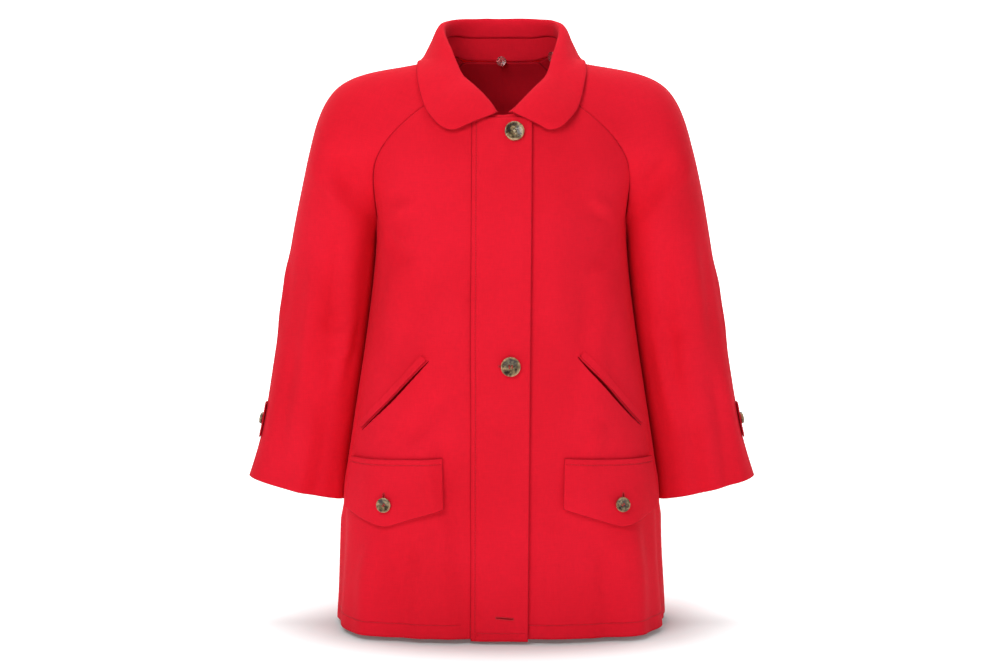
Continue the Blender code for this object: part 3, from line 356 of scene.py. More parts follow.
# Creases, in millimetres, by cloth and the side they are seen from: half width, height
# (a trough is below nought) and the line followed, (x, z) from front or back and (y, z) from the sides.
creases = {
    ("B", "front"): [
        (20, -3.4, (-83, -230), (-101, -300), (-122, -350), (-158, -412)),
        (15, 2.6, (-52, -215), (-47, -343), (-59, -478)),
        (14, -3, (-70, -400), (-100, -452), (-140, -488)),
        (12, 2.2, (-100, -440), (-92, -520), (-78, -590), (-82, -650)),
        (16, 3, (-150, -585), (-170, -640), (-176, -724)),
        (14, -2.6, (-107, -576), (-124, -640), (-128, -724)),
        (18, 2.4, (-64, -545), (-74, -640), (-66, -724)),
        (16, 2.2, (-128, -245), (-140, -300), (-148, -352)),
        (24, 2.2, (60, -140), (68, -262), (60, -365)),
        (18, -2.6, (112, -250), (108, -330), (90, -420), (70, -480)),
        (13, 1.8, (128, -450), (116, -478), (98, -492)),
        (15, -2.4, (118, -578), (131, -640), (134, -724)),
        (16, 2.8, (160, -560), (173, -640), (176, -724)),
        (18, 2.2, (72, -540), (64, -620), (70, -724)),
        (17, -2, (148, -300), (138, -350), (140, -410)),
        # drag lines from the underarms
        (10, -2.2, (-150, -214), (-134, -238), (-106, -252)),
        (10, -2, (150, -210), (136, -240), (104, -262)),
        (9, 1.6, (-146, -190), (-124, -186), (-100, -174)),
        (9, 1.4, (147, -188), (128, -180), (108, -166)),
    ],
    # the back hangs in long folds from the shoulder blades
    ("B", "back"): [
        (26, 4, (-80, -170), (-86, -330), (-104, -520), (-118, -724)),
        (22, -4, (-30, -230), (-40, -380), (-52, -560), (-56, -724)),
        (24, 3.4, (28, -210), (22, -360), (10, -540), (8, -724)),
        (22, -3.6, (68, -260), (78, -420), (74, -580), (82, -724)),
        (25, 3.8, (98, -180), (112, -340), (132, -520), (142, -724)),
        (18, -2.6, (-128, -360), (-146, -480), (-162, -600)),
        (16, 2.4, (150, -420), (164, -540), (176, -724)),
        (12, -2.2, (-146, -214), (-118, -232), (-82, -236)),
        (12, -2.4, (146, -212), (114, -236), (76, -246)),
        (14, 1.6, (-60, -60), (-10, -72), (52, -62)),
        (16, -1.8, (-90, -430), (-20, -446), (40, -436)),
    ],
    ("B", "right"): [
        (18, 2.6, (-20, -330), (-12, -470), (-20, -610), (-16, -724)),
        (14, -2.2, (50, -420), (60, -560), (52, -700)),
    ],
    ("B", "left"): [
        (18, 2.4, (10, -350), (20, -480), (10, -620), (14, -724)),
        (14, -2.2, (-42, -440), (-54, -570), (-46, -724)),
    ],
    # sleeves: long hanging folds, and short ones where the elbow gives
    ("R", "front"): [
        (13, -3, (-206, -170), (-212, -260), (-214, -360), (-228, -480)),
        (12, 2.6, (-238, -230), (-246, -330), (-262, -430)),
        (11, -2.4, (-262, -350), (-280, -440), (-292, -540)),
        (10, 2.2, (-196, -300), (-206, -380), (-222, -450)),
        (12, 2.4, (-244, -430), (-252, -500), (-262, -552)),
        (10, -2.2, (-186, -322), (-214, -336), (-240, -334)),
        (9, 1.6, (-190, -362), (-214, -380), (-236, -384)),
        (12, -2.2, (-180, -170), (-200, -138), (-212, -110)),
    ],
    ("L", "front"): [
        (13, -2.8, (204, -180), (210, -280), (218, -380), (224, -470)),
        (12, 2.6, (240, -200), (252, -310), (262, -410)),
        (11, -2.2, (268, -380), (284, -460), (296, -545)),
        (10, 2.2, (198, -330), (212, -420), (232, -500)),
        (12, -2, (246, -450), (250, -510), (258, -552)),
        (10, -2, (190, -345), (216, -352), (244, -344)),
        (12, -2.2, (178, -172), (200, -142), (214, -112)),
    ],
    ("R", "back"): [
        (13, 3, (-210, -190), (-222, -300), (-232, -400), (-250, -500)),
        (12, -2.8, (-242, -260), (-256, -360), (-276, -470), (-284, -545)),
        (10, -2.8, (-192, -330), (-222, -348), (-254, -340)),
        (10, 2.2, (-196, -370), (-226, -388), (-262, -378)),
        (12, -2.4, (-182, -180), (-206, -150), (-222, -112)),
    ],
    ("L", "back"): [
        (13, 2.8, (208, -200), (220, -310), (236, -420), (244, -510)),
        (12, -2.8, (246, -240), (262, -370), (278, -480), (290, -545)),
        (10, -2.6, (194, -350), (224, -360), (258, -346)),
        (12, -2.4, (182, -178), (208, -146), (224, -110)),
    ],
    ("R", "right"): [
        (12, 1.8, (6, -240), (-6, -300), (4, -370)),
    ],
    ("L", "left"): [
        (12, 1.8, (-6, -250), (6, -320), (-4, -385)),
    ],
    # the collar: a soft roll either side of the middle of the back
    ("C", "back"): [
        (14, 1.2, (-40, 30), (-44, 12), (-48, -6)),
        (14, -1.2, (24, 32), (26, 14), (28, -4)),
    ],
    ("C", "front"): [
        (12, 1, (-74, -6), (-70, -40), (-62, -66)),
        (12, -1, (78, -4), (76, -36), (70, -60)),
    ],
}
castOn = {
    "B": bvhOf([sheets[n] for n in ("front_right", "front_left", "back")]),
    "R": bvhOf([sheets[n] for n in ("sleeve_front_right", "sleeve_back_right")]),
    "L": bvhOf([sheets[n] for n in ("sleeve_front_left", "sleeve_back_left")]),
    "C": bvhOf([sheets["collar_fall"]]),
}
castFrom = {
    "front": (lambda h, z: Vector((h, -1.0, z)), Vector((0, 1, 0))),
    "back": (lambda h, z: Vector((h, 1.0, z)), Vector((0, -1, 0))),
    "right": (lambda h, z: Vector((-1.0, h, z)), Vector((1, 0, 0))),
    "left": (lambda h, z: Vector((1.0, h, z)), Vector((-1, 0, 0))),
}


def farAlong(line):
    # how far along a line each of its points lies
    return np.concatenate([[0], np.cumsum(np.linalg.norm(np.diff(line, axis=0), axis=1))])


def smoothThrough(points, count):
    # a smooth line through a few points, evenly spaced
    at = farAlong(points)
    slopes = np.gradient(points, at, axis=0)
    want = np.linspace(0, at[-1], count)
    i = np.clip(np.searchsorted(at, want, side="right") - 1, 0, len(at) - 2)
    step = (at[i + 1] - at[i])[:, None]
    t = (want - at[i])[:, None] / step
    return ((1 + 2 * t) * (1 - t) ** 2 * points[i] + t * t * (3 - 2 * t) * points[i + 1]
            + step * t * (1 - t) * ((1 - t) * slopes[i] - t * slopes[i + 1]))


def creaseLine(on, seenFrom, width, height, points):
    start, way = castFrom[seenFrom]
    places, normals = [], []
    for h, z in smoothThrough(points, creaseShape["spots"]):
        hit, normal, _, _ = castOn[on].ray_cast(start(h, z), way)
        if hit is not None:
            places.append(hit)
            normals.append(normal)
    places, normals = np.array(places), np.array(normals)
    ahead = unitRows(np.gradient(places, axis=0))
    across = unitRows(np.cross(normals, ahead))
    # a crease that runs to the hem or the cuff stays open there
    openEnd = float(points[-1][1] < creaseShape["hem" if on == "B" else "cuff"])
    share = np.linspace(0, 1, len(places))
    taper = (softStep(share, creaseShape["starts"])
             * np.maximum(softStep(1 - share, creaseShape["ends"]), openEnd))
    return dict(on=on, width=width, height=height, places=places, ahead=ahead, across=across, taper=taper)


# troughs: a shallow trough on the far side of each ridge, how deep, how far over and how wide, in half
# widths. starts, ends: the share of its line over which a crease comes and goes
creaseShape = dict(spots=60, reach=3.2, trough=0.42, troughAt=1.75, troughWide=0.95, starts=0.35,
                   ends=0.40, hem=-0.70, cuff=-0.54)
creaseLines = [creaseLine(on, side, width / 1000, height / 1000, np.array(points) / 1000)
               for (on, side), rows in creases.items() for width, height, *points in rows]
creaseDepth = {"B": 1.9, "R": 1.8, "L": 1.8, "C": 1.2}
rippleHeight = {"B": 0.00055, "R": 0.0005, "L": 0.0005, "C": 0.00025}
# pairs of crossing waves: their share, then how fast each runs round and up, and where it starts
rippleWaves = ((1.0, (9.0, 14, 0.6), (4.1, 23, 1.2)), (0.6, (17.0, -31, 2.1), (-2.3, 11, 0.0)))
mostMove = 0.0085


def creaseHeights(places, on):
    heights = np.zeros(len(places))
    for line in creaseLines:
        if line["on"] != on:
            continue
        reach = line["width"] * creaseShape["reach"]
        low, high = line["places"].min(0) - reach, line["places"].max(0) + reach
        near = np.nonzero(((places > low) & (places < high)).all(axis=1))[0]
        if len(near) == 0:
            continue
        gaps = places[near][:, None, :] - line["places"][None, :, :]
        which = np.argmin((gaps ** 2).sum(-1), axis=1)
        gap = gaps[np.arange(len(near)), which]
        ahead = line["ahead"][which]
        side = (gap * line["across"][which]).sum(-1)
        beyond = np.abs((gap * ahead).sum(-1))
        s = side / line["width"]
        trough = np.exp(-((s - creaseShape["troughAt"]) / creaseShape["troughWide"]) ** 2)
        shape = np.exp(-s * s) - creaseShape["trough"] * trough
        atEnd = np.exp(-(beyond / line["width"]) ** 2)
        heights[near] += line["height"] * line["taper"][which] * shape * atEnd
    return heights * creaseDepth[on]


def smallRipple(places, on):
    # the cloth is never quite even: a low, slow ripple, different on each side
    x, y, z = places.T
    around = np.arctan2(x, -y)
    ripple = 0
    for share, one, other in rippleWaves:
        first, second = (np.sin(around * turns + z * up + start) for turns, up, start in (one, other))
        ripple = ripple + share * first * second
    return rippleHeight[on] * ripple


# neighbours along a seam move the same way, so the seams stay shut
sheetNormals = {name: unitRows(normalsOf(obj)) for name, obj in sheets.items()}
sewnTogether = mainPanels + ["placket"]
seamReach = 0.0016
tree = treeOf(np.concatenate([placesOf(sheets[n]) for n in sewnTogether]))
# these rows are views, so a later sheet meets its neighbour's new normals
treeNormals = [row for n in sewnTogether for row in sheetNormals[n]]
treeOwner = [n for n in sewnTogether for _ in sheetNormals[n]]
for name in sewnTogether:
    places = placesOf(sheets[name])
    for run in boundaryLoops(sheets[name]):
        for i in run:
            mates = [j for _, j, _ in tree.find_range(places[i], seamReach) if treeOwner[j] != name]
            if mates:
                total = sheetNormals[name][i] + np.mean([treeNormals[j] for j in mates], axis=0)
                sheetNormals[name][i] = total / max(np.linalg.norm(total), 1e-9)


# The sleeves' inner side lies against the body: how far out it lies, at each height. middle: half
# the CAD's gap; widest: the most that is closed; over: how far past half the gap each one goes.
sleeveInner = dict(heights=(-0.5725, -0.522, -0.465, -0.403, -0.343, -0.287, -0.245, -0.216),
                   out=(0.2060, 0.2008, 0.1927, 0.1828, 0.1745, 0.1676, 0.1641, 0.1605))
contact = dict(middle=0.0006, widest=0.004, over=0.0002, acrossY=0.02, look=0.03,
               sleeveWide=0.018, sleeveSoft=0.012, bodyWide=0.012, bodySoft=0.010,
               across=0.045, acrossSoft=0.02, top=-0.19, low=-0.60, endSoft=0.03)
gapHeights = np.linspace(-0.570, -0.215, 24)


def sideGaps(side):
    # how far apart sleeve and body are at each height
    sign, gaps = {"R": -1, "L": 1}[side], []
    for z in gapHeights:
        out = np.interp(z, sleeveInner["heights"], sleeveInner["out"]) - contact["middle"]
        best = contact["widest"]
        for y in np.linspace(-contact["acrossY"], contact["acrossY"], 9):
            spot = Vector((sign * out, y, z))
            toBody = castOn["B"].ray_cast(spot, Vector((-sign, 0, 0)), contact["look"])[3]
            toSleeve = castOn[side].ray_cast(spot, Vector((sign, 0, 0)), contact["look"])[3]
            if toBody is not None and toSleeve is not None:
                best = min(best, toBody + toSleeve)
        gaps.append(best)
    return np.array(gaps)


gapsAt = {side: sideGaps(side) for side in "RL"}


def besideBody(places, on):
    # 1 where sleeve and body touch, 0 away from there; and how far each goes to meet the other
    x, y, z = np.abs(places[:, 0]), np.abs(places[:, 1]), places[:, 2]
    inner = np.interp(z, sleeveInner["heights"], sleeveInner["out"])
    if on in "RL":
        near = softStep(contact["sleeveWide"] - (x - inner), contact["sleeveSoft"])
    else:
        near = softStep(x - (inner - contact["bodyWide"]), contact["bodySoft"])
    near = near * softStep(contact["across"] - y, contact["acrossSoft"])
    near = near * softStep(contact["top"] - z, contact["endSoft"])
    near = near * softStep(z - contact["low"], contact["endSoft"])
    right, left = np.interp(z, gapHeights, gapsAt["R"]), np.interp(z, gapHeights, gapsAt["L"])
    shut = np.where(places[:, 0] < 0, right, left) / 2 + contact["over"]
    return near, shut


# little moves under the collar and along the placket's own stitching
calm = dict(collarZ=-0.11, collarY=0.02, collarSoft=0.05, collarShare=0.85,
            placketX=0.045, placketSoft=0.012, placketShare=0.6)


def clothMove(places, on):
    # how far the cloth is moved out there, in metres
    move = creaseHeights(places, on) + smallRipple(places, on)
    if on != "C":
        touching, shut = besideBody(places, on)
        move = move * (1 - touching) + shut * touching
    if on == "B":
        x, y, z = places.T
        byCollar = softStep(z - calm["collarZ"], calm["collarSoft"])
        byPlacket = softStep(calm["placketX"] - np.abs(x), calm["placketSoft"])
        move *= 1 - calm["collarShare"] * byCollar * (y < calm["collarY"])
        move *= 1 - calm["placketShare"] * byPlacket * (y < 0)
    return np.clip(move, -mostMove, mostMove)


# sunk: how deep a welt's upper edge lies, from edge on; shows: how much of it shows beside its slit, with
# the rolled look and painted dark line of its edge
welt = dict(sunk=0.00135, edge=0.002, soft=0.007, shows=0.004)
flapCorner = dict(x=0.128, softX=0.055, z=-0.500, softZ=0.05)
for name, obj in sheets.items():
    places = placesOf(obj)
    move = clothMove(places, cloth[name]["on"])
    if name == "collar_stand":
        move = -move * 0.5
    if name.startswith("pocket_welt"):
        # sunk at its upper edge, nearly flush with the front
        move -= welt["sunk"] * softStep(slitFar(places, slitOf(name)) - welt["edge"], welt["soft"])
    if name.startswith("pocket_flap"):
        # stands off the front at its inner lower corner
        inward, down = flapCorner["x"] - np.abs(places[:, 0]), flapCorner["z"] - places[:, 2]
        move += (cloth[name]["standsOff"] * softStep(inward, flapCorner["softX"])
                 * softStep(down, flapCorner["softZ"]))
    setPlaces(obj, places + move[:, None] * sheetNormals[name])
note("creases laid")


def densely(line):
    return np.concatenate([line] + [line[:-1] + (line[1:] - line[:-1]) * k for k in (0.2, 0.4, 0.6, 0.8)])


widestSeam = 0.0022


def drawTogether(name, other):
    # the two edges of a seam meet midway
    starts = {n: placesOf(sheets[n]) for n in (name, other)}
    for one, mate in ((name, other), (other, name)):
        run = max(boundaryLoops(sheets[mate]), key=len)
        spots = treeOf(densely(starts[mate][run + run[:1]]))
        places = starts[one].copy()
        for i in max(boundaryLoops(sheets[one]), key=len):
            spot, _, far = spots.find(starts[one][i])
            if far < widestSeam:
                places[i] = (starts[one][i] + np.array(spot)) / 2
        setPlaces(sheets[one], places)


drawTogether("front_right", "placket")


# Sewing. Each row runs beside a piece's edge, between two of its corners, and far in from the edge.
sewing = dict(length=0.0026, pitch=0.0033, thread=0.00027, lift=0.00012, keepOff=0.90, rows=[
    ("placket", 0.0062, (-0.037, -0.104, -0.070), (-0.039, -0.150, -0.731)),
    ("placket", 0.0105, (-0.039, -0.150, -0.731), (0.034, -0.156, -0.730)),
    ("front_right", 0.0180, (-0.214, 0.0, -0.728), (-0.040, -0.150, -0.728)),
    ("front_left", 0.0180, (0.215, 0.0, -0.728), (-0.020, -0.151, -0.728)),
    ("back", 0.0180, (0.215, 0.0, -0.728), (-0.214, 0.0, -0.728)),
    ("sleeve_front_right", 0.0060, (-0.332, 0.0, -0.543), (-0.085, 0.0, 0.0)),
    ("sleeve_front_left", 0.0060, (0.333, 0.0, -0.542), (0.085, 0.0, 0.0)),
    ("pocket_flap_right", 0.0074, (-0.074, -0.143, -0.498), (-0.194, -0.069, -0.506)),
    ("pocket_flap_left", 0.0074, (0.079, -0.144, -0.498), (0.195, -0.063, -0.506)),
])
# each tab: two rows down its end, one along each side
tabCorners = np.array([(0.3185, -0.008, -0.490), (0.309, -0.008, -0.445), (0.243, 0.050, -0.466),
                       (0.252, 0.047, -0.510)])
for side, sign in (("right", -1), ("left", 1)):
    for far, a, b in ((0.0030, 0, 1), (0.0085, 0, 1), (0.0050, 1, 2), (0.0050, 3, 0)):
        ends = tabCorners[[a, b]] * (sign, 1, 1)
        sewing["rows"].append(("sleeve_tab_" + side, far, *ends))


def edgeBetween(obj, a, b):
    # the part of the sheet's edge from corner a to corner b, the shorter way round
    places = placesOf(obj)
    run = max(boundaryLoops(obj), key=len)
    line = places[run]
    i = int(np.argmin(np.linalg.norm(line - np.array(a), axis=1)))
    j = int(np.argmin(np.linalg.norm(line - np.array(b), axis=1)))
    ways = []
    for step in (1, -1):
        way, k = [i], i
        while k != j:
            k = (k + step) % len(run)
            way.append(k)
        ways.append((np.linalg.norm(np.diff(line[way], axis=0), axis=1).sum(), way))
    return line[min(ways, key=lambda w: w[0])[1]]


def insetLine(obj, bvh, edge, far, allEdge):
    # a line on the cloth, far in from the edge
    ahead = unitRows(np.gradient(edge, axis=0))
    line, normals = [], []
    for place, way in zip(edge, ahead):
        _, normal, _, _ = bvh.find_nearest(Vector(place))
        inward = np.cross(np.array(normal), way)
        tries = []
        for sign in (1, -1):
            spot, n, _, off = bvh.find_nearest(Vector(place + sign * far * inward))
            tries.append((off, np.array(spot), np.array(n)))
        off, spot, n = min(tries, key=lambda t: t[0])
        if np.linalg.norm(allEdge - spot, axis=1).min() > far * sewing["keepOff"]:
            line.append(spot)
            normals.append(n)
    return np.array(line), np.array(normals)


def spaced(line, normals, pitch):
    at = farAlong(line)
    want = np.arange(pitch / 2, at[-1], pitch)
    places, ways, norms = (np.column_stack([np.interp(want, at, column) for column in rows.T])
                           for rows in (line, np.gradient(line, at, axis=0), normals))
    return places, unitRows(ways), unitRows(norms)


def beadShape(length, thick, sides=6, rings=5):
    # one stitch: a thread that rises out of the cloth and dives back in
    deselectAll()
    bpy.ops.mesh.primitive_uv_sphere_add(segments=sides, ring_count=rings, radius=1.0)
    bead = bpy.context.object
    editAll(bead)
    bpy.ops.transform.rotate(value=math.radians(90), orient_axis="Y", center_override=(0, 0, 0))
    bpy.ops.transform.resize(value=(length / 2, thick, thick), center_override=(0, 0, 0))
    objectMode()
    verts = placesOf(bead).copy()
    faces = [list(face.vertices) for face in bead.data.polygons]
    bpy.data.objects.remove(bead)
    return verts, faces


def beadsAlong(name, rows, shape, lift):
    # the same small shape at every place, joined in one mesh
    verts, faces = shape
    allVerts, allFaces = [], []
    for places, ways, norms in rows:
        for place, way, normal in zip(places, ways, norms):
            side = np.cross(normal, way)
            spin = random.uniform(-0.05, 0.05)
            way2 = way * math.cos(spin) + side * math.sin(spin)
            side2 = np.cross(normal, way2)
            start = len(allVerts)
            allVerts += list(place + lift * normal + verts[:, :1] * way2 + verts[:, 1:2] * side2
                             + verts[:, 2:] * normal)
            allFaces += [[start + i for i in face] for face in faces]
    obj = meshFrom(name, allVerts, allFaces)
    for face in obj.data.polygons:
        face.use_smooth = True
    return obj


def farFrom(places, line):
    spots = treeOf(densely(line))
    return np.array([spots.find(place)[2] for place in places])


def keepValues(obj, name, values, most=0.2):
    layer = obj.data.attributes.new(name, "FLOAT", "POINT")
    layer.data.foreach_set("value", np.clip(values, -most, most))


stitchShape = beadShape(sewing["length"], sewing["thread"])
stitchPieces = []
sewnEdges = {name: [] for name in sheets}
stitchRows = {}
for name, far, a, b in sewing["rows"]:
    obj = sheets[name]
    bvh = bvhOf([obj])
    edge = edgeBetween(obj, a, b)
    allEdge = np.concatenate([placesOf(obj)[run] for run in boundaryLoops(obj)])
    line, normals = insetLine(obj, bvh, edge, far, allEdge)
    if len(line) > 4:
        stitchRows.setdefault(name, []).append(spaced(line, normals, sewing["pitch"]))
        sewnEdges[name].append((far, line, edge))
for name, rows in stitchRows.items():
    stitchPieces.append(beadsAlong("stitches_" + name, rows, stitchShape, sewing["lift"]))
note("sewn %d rows" % len(sewing["rows"]))

# kept for the cloth's material: the distance to the piece's edge, how near a row of stitches is,
# and on which side of that row each point lies
for name, obj in sheets.items():
    places = placesOf(obj)
    runs = [places[run + run[:1]] for run in boundaryLoops(obj)]
    toEdge = farFrom(places, np.concatenate(runs))
    if name.startswith("pocket_welt"):
        # only the edge by the slit keeps its rolled look and painted dark line of shade
        hidden = softStep(slitFar(places, slitOf(name)) - welt["shows"], 0.002)
        toEdge = np.maximum(toEdge, 0.003 * hidden)
    # edgeFar also sets where the material paints a dark line of shade along each edge
    keepValues(obj, "edgeFar", toEdge)
    near, off = np.full(len(places), 0.2), np.full(len(places), 0.2)
    for far, line, edge in sewnEdges[name]:
        rowFar = farFrom(places, line)
        closer = rowFar < near
        near = np.where(closer, rowFar, near)
        off = np.where(closer, farFrom(places, edge) - far, off)
    keepValues(obj, "sewnFar", near)
    keepValues(obj, "sewnOff", off)

# thickness, a rounded rim, and the pocket slits
rim = dict(width=0.00045, segments=2)
for name, obj in sheets.items():
    applyModifier(obj, "SOLIDIFY", thickness=cloth[name]["thick"], offset=-1.0, use_even_offset=False,
                  use_quality_normals=True)
    applyModifier(obj, "BEVEL", width=rim["width"], segments=rim["segments"], limit_method="ANGLE",
                  angle_limit=math.radians(60), harden_normals=False)
    for face in obj.data.polygons:
        face.use_smooth = True


def cutSlit(obj, ends, widest, skin, deep):
    # a narrow slit with pointed ends, cut right through the cloth
    (xa, za), (xb, zb) = ends
    spots = []
    for k in np.linspace(0.0, 1.0, slitWork["spots"]):
        h, z = xa + (xb - xa) * k, za + (zb - za) * k
        hit, normal, _, _ = skin.ray_cast(Vector((h, -1.0, z)), Vector((0, 1, 0)))
        share = min(max(k, slitWork["tip"]), 1 - slitWork["tip"])
        wide = widest / 2 * math.sin(math.pi * share) ** slitWork["blunt"]
        spots.append((np.array(hit), np.array(normal), wide))
    ahead = unitRows(np.gradient(np.array([spot[0] for spot in spots]), axis=0))
    verts, faces = [], []
    for (spot, normal, wide), way in zip(spots, ahead):
        across, above = np.cross(normal, way) * wide, normal * slitWork["above"]
        verts += [spot + across + above, spot - across + above,
                  spot - across - normal * deep, spot + across - normal * deep]
    for i in range(len(spots) - 1):
        a, b = 4 * i, 4 * i + 4
        for j in range(4):
            faces.append([a + j, a + (j + 1) % 4, b + (j + 1) % 4, b + j])
    faces += [[3, 2, 1, 0], [len(verts) - 4, len(verts) - 3, len(verts) - 2, len(verts) - 1]]
    cutter = meshFrom("cutter", verts, faces)
    editAll(cutter)
    bpy.ops.mesh.normals_make_consistent(inside=False)
    objectMode()
    applyModifier(obj, "BOOLEAN", object=cutter, operation="DIFFERENCE", solver="EXACT")
    bpy.data.objects.remove(cutter)
    return spots


for name, spec in pocketSlits.items():
    cutSlit(sheets[name], spec["ends"], spec["wide"], castOn["B"], slitWork["deep"])

# Buttonholes, from end to end, worked round with close stitches.
buttonholes = {
    "placket_low": dict(piece="placket", ends=((-0.0068, -0.7000), (0.0146, -0.7016)), wide=0.0011),
    "placket_top": dict(piece="placket", ends=((0.0055, -0.0885), (0.0265, -0.0880)), wide=0.0009),
    "placket_mid": dict(piece="placket", ends=((-0.0030, -0.3812), (0.0220, -0.3812)), wide=0.0009),
    "flap_right": dict(piece="pocket_flap_right", button="button_flap_right", wide=0.0013),
    "flap_left": dict(piece="pocket_flap_left", button="button_flap_left", wide=0.0013),
}
# down, lean, up: how a flap's buttonhole runs from its button's middle
satin = dict(pitch=0.00062, long=0.0019, thick=0.00030, lift=0.00008, beside=0.36, tackGap=0.00055,
             tackOut=0.0006, deep=0.0028, down=0.0050, lean=0.0004, up=0.0140)
satinShape = beadShape(satin["long"], satin["thick"], 5, 4)
for name, spec in buttonholes.items():
    obj = sheets[spec["piece"]]
    if "button" in spec:
        x, _, z = placesOf(nodes[spec["button"]]).mean(0)
        spec["ends"] = ((x, z - satin["down"]), (x + satin["lean"], z + satin["up"]))
    skin = bvhOf([obj])
    spots = cutSlit(obj, spec["ends"], spec["wide"], skin, satin["deep"])
    line, norms = np.array([spot[0] for spot in spots]), np.array([spot[1] for spot in spots])
    places, ways, normals = spaced(line, norms, satin["pitch"])
    across = np.cross(normals, ways)
    far = spec["wide"] / 2 + satin["long"] * satin["beside"]
    rows = [(places + across * far, across, normals), (places - across * far, across, normals)]
    for end, sign in ((0, -1), (-1, 1)):
        # the bar tack across each end
        way, normal = ways[end] * sign, normals[end]
        side = np.cross(normal, way)
        tack = [places[end] + way * satin["tackOut"] + side * k * satin["tackGap"] for k in range(-2, 3)]
        rows.append((np.array(tack), np.array([way] * len(tack)), np.array([normal] * len(tack))))
    stitchPieces.append(beadsAlong("buttonhole_" + name, rows, satinShape, satin["lift"]))
note("cloth given its thickness, slits and buttonholes cut")


# Buttons. turn: how the pattern and holes are turned, in degrees. on: which cloth it sits on.
buttons = {
    "button_front_1": dict(kind="horn", on="B", turn=38, thread="cross"),
    "button_front_2": dict(kind="horn", on="B", turn=4, thread="bars"),
    "button_flap_right": dict(kind="horn", on="B", turn=52, thread="bars"),
    "button_flap_left": dict(kind="horn", on="B", turn=28, thread="bars"),
    "button_tab_right": dict(kind="horn", on="R", turn=15, thread="bars"),
    "button_tab_left": dict(kind="horn", on="L", turn=70, thread="bars"),
    "button_hood_centre": dict(kind="clear", on="C", turn=0, thread="bars"),
    "button_hood_left": dict(kind="clear", on="C", turn=35, thread="bars"),
    "button_hood_right": dict(kind="clear", on="C", turn=-35, thread="bars"),
}
# shares of the button's radius; dish and rounding are shares of its height, worn is in metres
buttonShape = dict(sides=40, rimWide=0.17, dish=0.30, holeFar=0.200, holeWide=0.085, rounding=0.26,
                   backInset=0.10, backWide=0.82, worn=0.00016)
# how far in each ring of the face lies, and how much lower
buttonRings = ((buttonShape["rimWide"] * 0.55, -0.02), (buttonShape["rimWide"] * 0.45, -buttonShape["dish"]),
               (0.22, -0.06), (0.12, -0.08))


def buttonBody(name, radius, high):
    # lies flat at the origin, its face up
    deselectAll()
    bpy.ops.mesh.primitive_cylinder_add(vertices=buttonShape["sides"], radius=radius, depth=high,
                                        location=(0, 0, high / 2))
    obj = bpy.context.object
    obj.name = name
    bpy.ops.object.transform_apply(location=True, rotation=True, scale=True)
    top = lambda face: face.normal.z > 0.9 and face.center.z > high * 0.45 and len(face.vertices) > 8
    # the rim stands up, then the face sinks to a shallow dish with a well for the holes
    for inset, down in buttonRings:
        pickOnly(obj, [face for face in obj.data.polygons if top(face)])
        editMode(obj)
        bpy.ops.mesh.inset(thickness=inset * radius, depth=0)
        bpy.ops.transform.translate(value=(0, 0, down * high))
        objectMode()
    # the back is rounded in
    pickOnly(obj, [face for face in obj.data.polygons if face.normal.z < -0.9])
    editMode(obj)
    bpy.ops.mesh.inset(thickness=buttonShape["backInset"] * radius, depth=0)
    bpy.ops.transform.resize(value=(buttonShape["backWide"], buttonShape["backWide"], 1),
                             center_override=(0, 0, 0))
    objectMode()
    rounds = []
    for edge in obj.data.edges:
        ends = [obj.data.vertices[i].co for i in edge.vertices]
        level = abs(ends[0].z - ends[1].z) < 1e-6
        if level and all(abs(math.hypot(e.x, e.y) - radius) < radius * 0.01 for e in ends):
            rounds.append(edge)
    pickOnly(obj, rounds)
    editMode(obj, "EDGE")
    bpy.ops.mesh.bevel(offset=high * buttonShape["rounding"], segments=4, affect="EDGES")
    objectMode()
    for k in range(4):
        turn, far = math.radians(45 + 90 * k), buttonShape["holeFar"] * radius
        deselectAll()
        bpy.ops.mesh.primitive_cylinder_add(vertices=14, radius=buttonShape["holeWide"] * radius,
                                            depth=high * 4,
                                            location=(far * math.cos(turn), far * math.sin(turn), 0))
        cutter = bpy.context.object
        applyModifier(obj, "BOOLEAN", object=cutter, operation="DIFFERENCE", solver="EXACT")
        bpy.data.objects.remove(cutter)
    applyModifier(obj, "BEVEL", width=buttonShape["worn"], segments=2, limit_method="ANGLE",
                  angle_limit=math.radians(50))
    makeActive(obj)
    bpy.ops.object.shade_smooth_by_angle(angle=math.radians(38))
    return obj


sewnOn = dict(thick=0.00032, apart=0.00026, longer=0.0006, crossed=0.0003, clear=0.00012, round=1.15)


def threadBars(name, radius, high, kind):
    # the sewing thread, over the middle of the button
    far = buttonShape["holeFar"] * radius * math.sin(math.radians(45))
    low = high * (1 + sum(down for _, down in buttonRings)) + sewnOn["clear"]
    verts, faces = [], []
    if kind == "cross":
        runs = [((-far, -far), (far, far)), ((-far, far), (far, -far))]
    else:
        runs = [((-far, -far), (-far, far)), ((far, -far), (far, far))]
    for (xa, ya), (xb, yb) in runs:
        for offset in (-sewnOn["apart"], sewnOn["apart"]):
            way = np.array([xb - xa, yb - ya, 0.0])
            reach = np.linalg.norm(way)
            way /= reach
            side = np.array([-way[1], way[0], 0.0])
            shape, shapeFaces = beadShape(reach + sewnOn["longer"], sewnOn["thick"], 8, 9)
            start = len(verts)
            over = sewnOn["crossed"] if offset > 0 and kind == "cross" else 0.0
            middle = np.array([(xa + xb) / 2, (ya + yb) / 2, low + over])
            verts += list(middle + side * offset + shape[:, :1] * way + shape[:, 1:2] * side
                          + (shape[:, 2:] * sewnOn["round"]) * np.array([0, 0, 1.0]))
            faces += [[start + i for i in face] for face in shapeFaces]
    return meshFrom(name, verts, faces)


def nodeAxis(node):
    # a flat round node's points, its middle, the way it faces and how far along that each point lies
    places = placesOf(node)
    middle = places.mean(0)
    axis = np.linalg.svd(places - middle, full_matrices=False)[2][2]
    return places, middle, axis, (places - middle) @ axis


